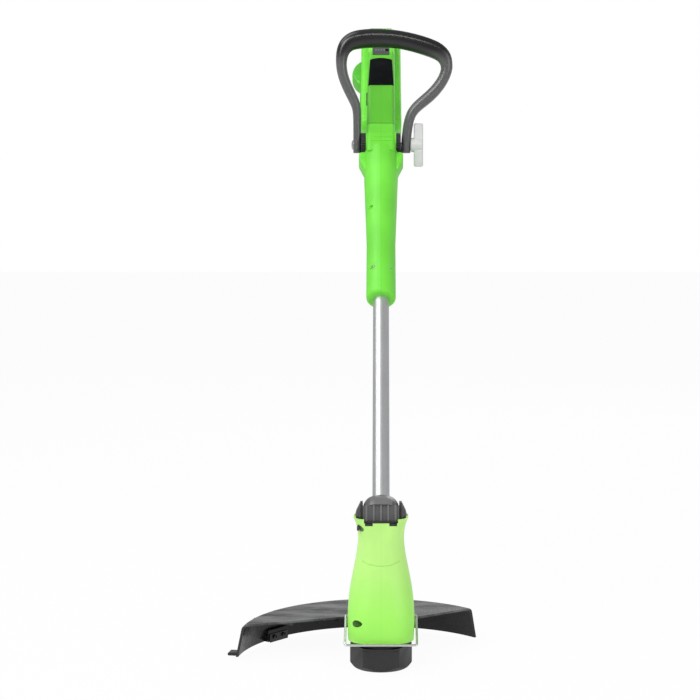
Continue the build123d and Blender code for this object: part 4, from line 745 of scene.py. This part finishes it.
class Form:
    """A piece under construction, shaped with bmesh operators, in millimetres."""

    def __init__(self) -> None:
        """Starts an empty piece."""
        self.work = bmesh.new()

    def lathe(self, profile: Sequence[Pair], steps: int, closed: bool = True) -> "Form":
        """Turns a profile about Z.

        Args:
            profile: Radius and height of each corner.
            steps: Facets round the axis.
            closed: Joins the last corner to the first.

        Returns:
            The piece.
        """
        rim = [self.work.verts.new((radius, 0.0, height)) for radius, height in profile]
        pairs = list(zip(rim, rim[1:]))
        if closed:
            pairs.append((rim[-1], rim[0]))
        edges = [self.work.edges.new(pair) for pair in pairs]
        bmesh.ops.spin(self.work, geom=[*rim, *edges], cent=(0.0, 0.0, 0.0), axis=UP,
                       angle=math.tau, steps=steps, use_merge=True)
        return self.tidy()

    def block(self, *limits: Pair) -> "Form":
        """Adds a box.

        Args:
            limits: Its lowest and highest place along X, Y and Z.

        Returns:
            The piece.
        """
        middle = Vector([(low + high) / 2 for low, high in limits])
        size = Matrix.Diagonal([high - low for low, high in limits]).to_4x4()
        bmesh.ops.create_cube(self.work, size=1.0, matrix=Matrix.Translation(middle) @ size)
        return self

    def outline(self, points: Sequence[Pair], high: float) -> "Form":
        """Adds a plate that stands on the plane of X and Y.

        Args:
            points: Its outline.
            high: Its thickness.

        Returns:
            The piece.
        """
        face = self.work.faces.new([self.work.verts.new((x, y, 0.0)) for x, y in points])
        made = bmesh.ops.extrude_face_region(self.work, geom=[face], use_keep_orig=True)
        return self.lift(made["geom"], high)

    def lift(self, geom: Sequence[Any], height: float) -> "Form":
        """Moves the corners among some elements along Z.

        Args:
            geom: The elements.
            height: How far they move.

        Returns:
            The piece.
        """
        moved = [item for item in geom if isinstance(item, bmesh.types.BMVert)]
        bmesh.ops.translate(self.work, verts=moved, vec=(0.0, 0.0, height))
        return self

    def sweep(self, section: Sequence[Pair], stations: Sequence[Matrix]) -> "Form":
        """Carries a section through stations and closes both ends.

        Args:
            section: Outline of the section, seen along its Z.
            stations: Place, turn and stretch of the section at each step.

        Returns:
            The piece.
        """
        ring = [self.work.verts.new(stations[0] @ Vector((x, y, 0.0))) for x, y in section]
        edges = [self.work.edges.new(pair) for pair in zip(ring, ring[1:] + ring[:1])]
        self.work.faces.new(ring)
        for before, after in zip(stations, stations[1:]):
            made = bmesh.ops.extrude_edge_only(self.work, edges=edges)["geom"]
            ring = [item for item in made if isinstance(item, bmesh.types.BMVert)]
            edges = [item for item in made if isinstance(item, bmesh.types.BMEdge)
                     and all(vert in ring for vert in item.verts)]
            bmesh.ops.transform(self.work, matrix=after @ before.inverted(), verts=ring)
        bmesh.ops.contextual_create(self.work, geom=edges)
        return self

    def cut(self, foot: Vector) -> "Form":
        """Cuts off what lies beyond a plane and closes the cut.

        Args:
            foot: The plane's point nearest to the origin.

        Returns:
            The piece.
        """
        geom = [*self.work.verts, *self.work.edges, *self.work.faces]
        made = bmesh.ops.bisect_plane(self.work, geom=geom, plane_co=foot,
                                      plane_no=foot.normalized(), clear_outer=True)
        edges = [item for item in made["geom_cut"] if isinstance(item, bmesh.types.BMEdge)]
        bmesh.ops.holes_fill(self.work, edges=edges)
        return self

    def round(self, width: float, segments: int = 3,
              test: Optional[Callable[[Any], bool]] = None) -> "Form":
        """Rounds the edges that turn by more than 30 degrees.

        Args:
            width: Width of the rounding.
            segments: Facets across it.
            test: Chooses among these edges.

        Returns:
            The piece.
        """
        limit = math.radians(30.0)
        edges = [edge for edge in self.work.edges if len(edge.link_faces) == 2
                 and edge.calc_face_angle(0.0) > limit and (test is None or test(edge))]
        bmesh.ops.bevel(self.work, geom=edges, offset=width, offset_type="OFFSET",
                        segments=segments, profile=0.5, affect="EDGES", clamp_overlap=True,
                        material=-1)
        return self

    def move(self, matrix: Matrix) -> "Form":
        """Moves the whole piece.

        Args:
            matrix: Its move.

        Returns:
            The piece.
        """
        bmesh.ops.transform(self.work, matrix=matrix, verts=self.work.verts)
        return self

    def join(self, other: "Form") -> "Form":
        """Takes in another piece, which is used up.

        Args:
            other: The other piece.

        Returns:
            The piece.
        """
        spare = bpy.data.meshes.new("spare")
        other.work.to_mesh(spare)
        other.work.free()
        self.work.from_mesh(spare)
        bpy.data.meshes.remove(spare)
        return self

    def tidy(self) -> "Form":
        """Merges doubles and turns every face outwards."""
        bmesh.ops.remove_doubles(self.work, verts=self.work.verts, dist=0.001)
        bmesh.ops.recalc_face_normals(self.work, faces=self.work.faces)
        return self

    def finish(self, piece: Piece, place: Matrix = Matrix(), levels: int = 0,
               sharp: float = 35.0) -> None:
        """Turns the work into the piece's object.

        Args:
            piece: What it is.
            place: Where it goes, in metres.
            levels: Subdivision levels.
            sharp: Edges sharper than this stay crisp, in degrees.
        """
        self.tidy()
        bmesh.ops.scale(self.work, vec=[1.0 / MM] * 3, verts=self.work.verts)
        bmesh.ops.transform(self.work, matrix=place, verts=self.work.verts)
        for face in self.work.faces:
            face.smooth = True
        data = bpy.data.meshes.new(piece.name)
        self.work.to_mesh(data)
        self.work.free()
        data.set_sharp_from_angle(angle=math.radians(sharp))
        made = piece.mount(data)
        if levels:
            finer = made.modifiers.new("finer", "SUBSURF")
            finer.levels = finer.render_levels = levels


# ---- small helpers
def facing(point: Sequence[float], direction: Sequence[float], up: Triple = UP) -> Matrix:
    """Place whose Z looks along a direction.

    Args:
        point: Its origin.
        direction: Where its Z looks.
        up: Roughly where its Y looks.

    Returns:
        The place.
    """
    z = Vector(direction).normalized()
    x = Vector(up).cross(z).normalized()
    turn = Matrix((x, z.cross(x), z)).transposed().to_4x4()
    return Matrix.Translation(Vector(point)) @ turn


def span(node: str) -> tuple[Vector, Vector]:
    """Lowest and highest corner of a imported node, in millimetres.

    Args:
        node: The node's name.

    Returns:
        The two corners.
    """
    low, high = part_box(node)
    return Vector(low) * MM, Vector(high) * MM


@dataclass
class StarScrew:
    """Pan headed screw with a star-shaped recess; its head looks along Z from its bearing face."""

    head: float = 6.6
    height: float = 2.6
    shank: float = 3.5
    length: float = 22.0
    depth: float = 1.4
    facets: int = 24
    waist: float = 0.74

    def form(self, place: Matrix) -> Form:
        """Shapes one screw.

        Args:
            place: Its bearing face, with Z through the head.

        Returns:
            The screw.
        """
        head, shank, tip = self.head / 2, self.shank / 2, -self.length
        made = Form().lathe(((AXIS, tip), (shank - 0.5, tip), (shank, tip + 0.8), (shank, 0.0),
                             (head - 0.1, 0.0), (head, 0.3), (head, self.height * 0.45),
                             (head * 0.86, self.height * 0.82), (head * 0.62, self.height)),
                            self.facets, closed=False)
        rim = [edge for edge in made.work.edges
               if edge.is_boundary and edge.verts[0].co.z > self.height * 0.9]
        top = bmesh.ops.contextual_create(made.work, geom=rim)["faces"]
        bmesh.ops.inset_region(made.work, faces=top, thickness=head * 0.10)
        lobes = sorted(top[0].verts, key=lambda vert: math.atan2(vert.co.y, vert.co.x))
        for index, vert in enumerate(lobes):
            if index % 4 < 2:
                vert.co.x, vert.co.y = vert.co.x * self.waist, vert.co.y * self.waist
        sunk = bmesh.ops.extrude_face_region(made.work, geom=top)
        bmesh.ops.delete(made.work, geom=top, context="FACES_ONLY")
        return made.lift(sunk["geom"], -self.depth).move(place)

    def drive(self, piece: Piece, places: Sequence[Matrix]) -> None:
        """Builds some equal screws as one piece.

        Args:
            piece: What they are.
            places: Where each screw bears.
        """
        group = self.form(places[0])
        for place in places[1:]:
            group.join(self.form(place))
        group.finish(piece, sharp=40.0)


# ---- loop handle
@dataclass
class LoopHandle:
    """Loop handle: a soft moulding that swells into the hand bar, its bolt's head and the knob.

    Each step of the route is a place across the tool, a height over the pivot and half the
    section's width there, in millimetres.
    """

    finishes: Palette
    pivot: Vector
    depth: float = 12.0
    softness: float = 0.84
    facets: int = 16
    foot: float = 41.8
    stand: float = 4.9
    route: tuple[Triple, ...] = (
        (-35.8, -12.4, 6.0), (-35.8, -11.0, 6.0), (-35.8, -8.0, 6.0), (-35.8, -3.0, 6.0),
        (-35.8, 20.0, 6.0), (-35.8, 44.0, 6.1), (-36.4, 56.0, 6.9), (-40.8, 67.0, 7.6),
        (-47.2, 79.5, 7.7), (-53.6, 93.0, 7.7), (-58.4, 108.0, 7.9), (-60.0, 123.0, 8.1),
        (-58.4, 138.0, 9.6), (-52.5, 149.5, 12.4), (-41.5, 156.2, 14.2), (-25.0, 158.6, 14.2),
        (-5.0, 159.8, 13.9), (20.0, 158.6, 13.6), (45.0, 154.0, 13.6), (68.0, 147.2, 13.8),
        (86.0, 140.2, 13.6), (96.3, 131.0, 11.8), (100.0, 117.0, 9.0), (96.0, 102.5, 8.4),
        (87.0, 87.5, 8.5), (73.5, 73.0, 8.8), (58.0, 61.0, 8.4), (47.2, 50.5, 7.8),
        (42.0, 37.5, 7.4), (39.3, 22.0, 7.25), (37.6, 2.0, 7.25), (37.05, -8.0, 7.25),
        (37.05, -11.0, 7.25), (37.05, -12.4, 7.25))

    def build(self) -> None:
        """Builds every piece."""
        self._loop()
        self._bolt_head()
        self._knob()

    def _loop(self) -> None:
        """Sweeps the section round the route."""
        turns = [math.tau * (index + 0.5) / self.facets for index in range(self.facets)]
        section = [tuple(math.copysign(abs(part) ** self.softness, part)
                         for part in (math.cos(turn), math.sin(turn))) for turn in turns]
        befores, afters = self.route[:1] + self.route[:-1], self.route[1:] + self.route[-1:]
        stations = []
        for before, (x, height, half), after in zip(befores, self.route, afters):
            along = (after[0] - before[0], 0.0, after[1] - before[1])
            place = facing(self.pivot + Vector((x, 0.0, height)), along, FRONT)
            deep = math.sqrt(self.depth ** 2 - 0.85 * min(height, 0.0) ** 2)
            stations.append(place @ Matrix.Diagonal((half * 1.02, deep * 1.01, 1.0, 1.0)))
        piece = Piece("loop_grip", self.finishes["loop"], "loop", "black_plastic",
                      ("loop_handle",))
        Form().sweep(section, stations).finish(piece, levels=2, sharp=60.0)

    def _bolt_head(self) -> None:
        """Turns the domed head of the bolt on the left foot."""
        head = Form().lathe(((AXIS, -0.6), (7.4, -0.6), (7.5, 0.3), (6.9, 1.2), (5.2, 2.1),
                             (2.6, 2.6), (AXIS, 2.7)), 48)
        head.move(facing(self.pivot - Vector((self.foot, 0.0, 0.0)), LEFT))
        head.finish(Piece("bolt_dome", self.finishes["steel"], "shaft_and_grip", "steel"))

    def _knob(self) -> None:
        """Shapes the wing knob: a round hub and two blades that thin towards their tips."""
        low, high = span("clamp_knob")
        reach, length = (high.z - low.z) / 2, high.x - low.x
        blade = ((7.9, 0.0), (7.7, reach * 0.35), (6.2, reach * 0.8), (5.4, reach))
        half = (*blade, *((-x, y) for x, y in reversed(blade)))
        outline = (*half, *((-x, -y) for x, y in half[1:-1]))
        blades = Form().outline(outline, length - self.stand + 0.7).round(2.4, 4)
        blades.move(facing((low.x + self.stand, self.pivot.y, self.pivot.z), RIGHT))
        hub = Form().lathe(((4.2, 0.0), (9.6, 0.0), (10.6, 1.0), (10.9, length - 2.4),
                            (10.2, length - 0.7), (8.6, length), (5.2, length),
                            (4.9, length - 1.6), (AXIS, length - 1.6), (AXIS, length - 3.0),
                            (4.2, length - 3.0)), 48)
        blades.join(hub.move(facing((low.x, self.pivot.y, self.pivot.z), RIGHT)))
        blades.finish(Piece("wing_knob", self.finishes["grey_knob"], "knob", "grey_knob",
                            ("clamp_knob",)))


# ---- spool and edge guide
@dataclass
class CuttingHead:
    """Spool cap with its finger flats, the edge guide's wire and the screws of the head."""

    finishes: Palette
    radius: float = 39.0
    flat: float = 35.5
    height: float = 29.7
    bore: float = 33.4
    wire: float = 3.0
    hinge: float = 64.0
    stub: float = 36.6
    cheek: float = 41.3

    def build(self) -> None:
        """Builds every piece."""
        self._cap()
        self._wire()
        self._bushes()
        self._screws()

    def _cap(self) -> None:
        """Turns the cup, cuts its six flats and rounds their edges."""
        wide, top, lip, bore = self.radius, self.height, self.radius - 0.4, self.bore
        cup = Form().lathe(((AXIS, 0.9), (8.0, 0.9), (9.0, 0.0), (13.0, 0.0), (14.2, 1.1),
                            (30.0, 1.1), (31.2, 0.0), (wide - 5.5, 0.0), (wide - 4.0, 1.0),
                            (wide, 5.6), (wide, top - 3.4), (lip, top - 3.0), (lip, top),
                            (bore, top), (bore, 3.2), (AXIS, 3.2)), 96)
        for index in range(6):
            angle = math.radians(90.0 + index * 60.0)
            cup.cut(Vector((math.cos(angle), math.sin(angle), 0.0)) * self.flat)
        cup.tidy().round(0.5, test=lambda edge: edge.calc_length() > 12.0
                         and abs(edge.verts[0].co.z - edge.verts[1].co.z) > 10.0)
        cup.finish(Piece("finger_cup", self.finishes["cap"], "spool", "black_plastic",
                         ("spool_cap",)))

    def _wire(self) -> None:
        """Draws the bright bow of the edge guide through its bends."""
        low, high = span("edge_guide_wire")
        thick = self.wire / 2
        half, front, foot, hinge = high.x - thick, low.y + thick, low.z + thick, self.hinge
        side = ((self.stub, 0.0, hinge), (half - 3.4, 0.0, hinge), (half - 0.3, -0.2, hinge),
                (half, -1.6, hinge - 0.9), (half, -5.0, hinge - 2.8),
                (half, front + 9.0, foot + 5.0), (half, front + 2.4, foot + 1.4),
                (half - 0.6, front + 0.2, foot + 0.1), (half - 3.0, front, foot),
                (half - 9.0, front, foot))
        mirrored = tuple((-x, y, z) for x, y, z in side)
        points = (*mirrored, *reversed(side))
        data = bpy.data.curves.new("edge_guide_bow", "CURVE")
        data.dimensions = "3D"
        data.bevel_depth = thick / MM
        data.bevel_resolution = 5
        data.resolution_u = 14
        data.use_fill_caps = True
        spline = data.splines.new("NURBS")
        spline.points.add(len(points) - 1)
        for point, place in zip(spline.points, points):
            point.co = (*(value / MM for value in place), 1.0)
        spline.order_u = 3
        spline.use_endpoint_u = True
        Piece("edge_guide_bow", self.finishes["bright_steel"], "edge_guide", "bright_steel",
              ("edge_guide_wire",)).mount(data)

    def _bushes(self) -> None:
        """Adds the dark bushes in which the wire turns."""
        group = Form()
        for side in (LEFT, RIGHT):
            ring = Form().lathe(((1.6, -2.2), (3.1, -2.2), (3.1, 0.25), (2.7, 0.6), (2.0, 0.6),
                                 (1.6, 0.2)), 32)
            group.join(ring.move(facing((side[0] * self.cheek, 0.0, self.hinge), side)))
        group.finish(Piece("guide_bushes", self.finishes["charcoal"], "head", "black_plastic"))

    def _screws(self) -> None:
        """Drives the screws of the head and of the guard."""
        dark, plain = self.finishes["dark_steel"], self.finishes["steel"]
        low = [facing((-14.0, y, 63.0), LEFT) for y in (-39.2, 39.2)]
        StarScrew(7.0, 2.4, 3.9, 24.0).drive(
            Piece("head_star_screws", dark, "head", "steel", ("head_screws",)), low)
        collar = [facing((-27.5, -25.0, 180.0), LEFT)]
        StarScrew(7.0, 2.4, 3.9, 4.5).drive(
            Piece("collar_star_screw", dark, "head", "steel"), collar)
        back = [facing((x, 48.1, 52.0), BACK) for x in (-20.0, 20.0)]
        StarScrew(8.0, 2.4, 3.9, 12.0).drive(
            Piece("guard_star_screws", plain, "head", "steel", ("guard_screws",)), back)


# ---- grip
@dataclass
class GripDetails:
    """Small pieces of the rear grip: its screws, the gauge's lights and the latch's grip lines.

    Places are in the shaft's own frame, in millimetres.
    """

    finishes: Palette
    front: float = -21.0
    gauge: float = 872.0
    latch: float = 931.0
    bulge: float = 12.5
    chord: float = 28.0
    step: float = 4.2
    band: Pair = (80.5, 93.5)

    def build(self) -> None:
        """Builds every piece."""
        self._screws()
        self._gauge()
        self._latch_lines()

    def _screws(self) -> None:
        """Drives the screws that join the two mouldings of the grip."""
        spots = ((-9.0, -16.0, 412.0), (-9.0, -16.0, 530.0), (-9.0, 16.0, 446.0),
                 (-9.0, 16.0, 564.0), (-14.0, 0.0, 710.0), (-14.0, 6.0, 933.0))
        places = [facing((SHAFT @ (Vector(spot) / MM)) * MM, LEFT) for spot in spots]
        StarScrew().drive(Piece("grip_star_screws", self.finishes["steel"], "shaft_and_grip",
                                "steel", ("housing_screws",)), places)

    def _gauge(self) -> None:
        """Sets four small lights and a round key into the gauge's window."""
        lights = Form()
        for index in range(4):
            x = index * self.step - 7.8
            lights.join(Form().block((x - 1.3, x + 1.3), (self.front - 0.85, self.front - 0.2),
                                     (self.gauge - 1.8, self.gauge + 2.0)).round(0.4))
        lights.finish(Piece("gauge_lights", self.finishes["light"], "shaft_and_grip",
                            "grey_window"), SHAFT)
        key = Form().lathe(((AXIS, 0.0), (2.5, 0.0), (2.5, 0.8), (1.9, 1.2), (AXIS, 1.0)), 36)
        key.move(facing((9.2, self.front - 0.2, self.gauge), FRONT))
        key.finish(Piece("gauge_key", self.finishes["soft_pad"], "shaft_and_grip", "soft_pad"),
                   SHAFT)

    def _latch_lines(self) -> None:
        """Adds raised grip lines across the bulge of the battery latch."""
        crest = span("battery_latch")[0].x
        radius = (self.chord ** 2 + self.bulge ** 2) / (2.0 * self.bulge)
        group = Form()
        for index in range(7):
            step = (index - 3) * self.step + 5.0
            x, s = crest + radius - math.sqrt(radius ** 2 - step ** 2), self.latch + step
            group.join(Form().block((x - 0.7, x + 0.6), self.band, (s - 0.8, s + 0.8))
                       .round(0.6))
        group.finish(Piece("latch_lines", self.finishes["green_shell"], "latch", "green_shell"),
                     SHAFT)


@dataclass
class LineCutter:
    """The two screws of the line cutter, which stands at an angle."""

    finishes: Palette
    reach: float = 8.5

    def build(self) -> None:
        """Drives the screws."""
        low, high = span("cutter_screws")
        along, inward = Vector((-0.643, -0.766, 0.0)), Vector((0.766, -0.643, 0.0))
        places = [facing((low + high) / 2 + along * step, inward)
                  for step in (-self.reach, self.reach)]
        StarScrew(6.0, 1.8, 2.9, 1.6, 1.0).drive(
            Piece("cutter_star_screws", self.finishes["dark_steel"], "head", "steel",
                  ("cutter_screws",)), places)


# ---- stage
@dataclass(frozen=True)
class Lamp:
    """Soft rectangular lamp, aimed at a point."""

    name: str
    width: float
    height: float
    power: float
    place: Triple
    target: Triple
    spread: float = math.pi

    def hang(self) -> None:
        """Adds the lamp."""
        data = bpy.data.lights.new(self.name, "AREA")
        data.shape = "RECTANGLE"
        data.size, data.size_y = self.width, self.height
        data.energy, data.spread = self.power, self.spread
        lamp = bpy.data.objects.new(self.name, data)
        lamp.location = self.place
        aim = Vector(self.target) - Vector(self.place)
        lamp.rotation_euler = aim.to_track_quat("-Z", "Y").to_euler()
        bpy.context.scene.collection.objects.link(lamp)


@dataclass
class Studio:
    """Floor, surroundings, soft lamps and camera."""

    lens: float = 87.43
    eye: Triple = (0.0, -2.1016, 0.583)
    pitch: float = 5.0
    shift: float = -0.0443
    ambient: float = 0.42
    paper: float = 0.955
    glow: float = 0.5
    lamps: tuple[Lamp, ...] = (
        Lamp("key", 1.3, 1.3, 39.5, (-1.5, -1.9, 2.2), (0.0, 0.25, 0.45)),
        Lamp("fill", 1.8, 1.8, 18.0, (2.1, -1.6, 1.3), (0.0, 0.25, 0.40)),
        Lamp("top", 1.6, 1.6, 20.0, (-1.25, 0.25, 2.45), (0.0, 0.3, 0.4)),
        Lamp("back", 1.4, 1.4, 12.0, (0.8, 2.6, 1.6), (0.0, 0.3, 0.5)),
        Lamp("strip", 1.0, 0.14, 0.18, (0.05, -1.45, 1.95), (0.02, 0.40, 0.84), 0.55))

    def build(self) -> None:
        """Builds the whole stage."""
        bpy.context.scene.view_settings.view_transform = "Standard"
        self._camera()
        self._floor()
        self._surroundings()
        for lamp in self.lamps:
            lamp.hang()

    def _camera(self) -> None:
        """Sets the camera."""
        scene = bpy.context.scene
        data = bpy.data.cameras.new("camera")
        data.lens = self.lens
        data.shift_x = self.shift
        camera = bpy.data.objects.new("camera", data)
        camera.location = self.eye
        camera.rotation_euler = (math.radians(90.0 - self.pitch), 0.0, 0.0)
        scene.collection.objects.link(camera)
        scene.camera = camera

    def _floor(self) -> None:
        """Adds the pale floor."""
        mesh = bmesh.new()
        bmesh.ops.create_grid(mesh, x_segments=1, y_segments=1, size=12.0)
        data = bpy.data.meshes.new("floor")
        mesh.to_mesh(data)
        mesh.free()
        floor = bpy.data.objects.new("floor", data)
        floor.data.materials.append(self._paper())
        bpy.context.scene.collection.objects.link(floor)

    def _paper(self) -> bpy.types.Material:
        """White studio paper that keeps a faint shadow."""
        graph = Graph("studio_paper")
        seen = graph.node("ShaderNodeLightPath", output="Is Camera Ray")
        mirrored = graph.node("ShaderNodeLightPath", output="Is Glossy Ray")
        matt = graph.node("ShaderNodeBsdfDiffuse", {}, {"Color": (0.86, 0.86, 0.86)})
        white = graph.node("ShaderNodeEmission", {}, {"Color": (1.0, 1.0, 1.0), "Strength": 1.0})
        share = (seen * self.paper + mirrored * self.glow).clamp()
        return graph.end(graph.node("ShaderNodeMixShader", {}, {0: share, 1: matt, 2: white}))

    def _surroundings(self) -> None:
        """White surroundings, softer for the light that they give."""
        graph = Graph("surroundings", bpy.data.worlds.new("surroundings"))
        seen = graph.node("ShaderNodeLightPath", output="Is Camera Ray")
        shades = [graph.node("ShaderNodeBackground", {},
                             {"Color": (1.0, 1.0, 1.0), "Strength": strength})
                  for strength in (self.ambient, 1.0)]
        mixed = graph.node("ShaderNodeMixShader", {}, {0: seen, 1: shades[0], 2: shades[1]})
        bpy.context.scene.world = graph.end(mixed, "ShaderNodeOutputWorld")


def main() -> None:
    """Builds the trimmer's looks."""
    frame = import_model()
    finishes = palette()
    FrameDresser(frame, finishes).dress()
    pivot = next(joint["pos_m"] for joint in frame["joints"] if joint["name"] == "loop_tilt")
    LoopHandle(finishes, Vector(pivot) * MM).build()
    CuttingHead(finishes).build()
    GripDetails(finishes).build()
    LineCutter(finishes).build()
    Studio().build()
    bpy.context.view_layer.update()


if __name__ == "__main__":
    main()
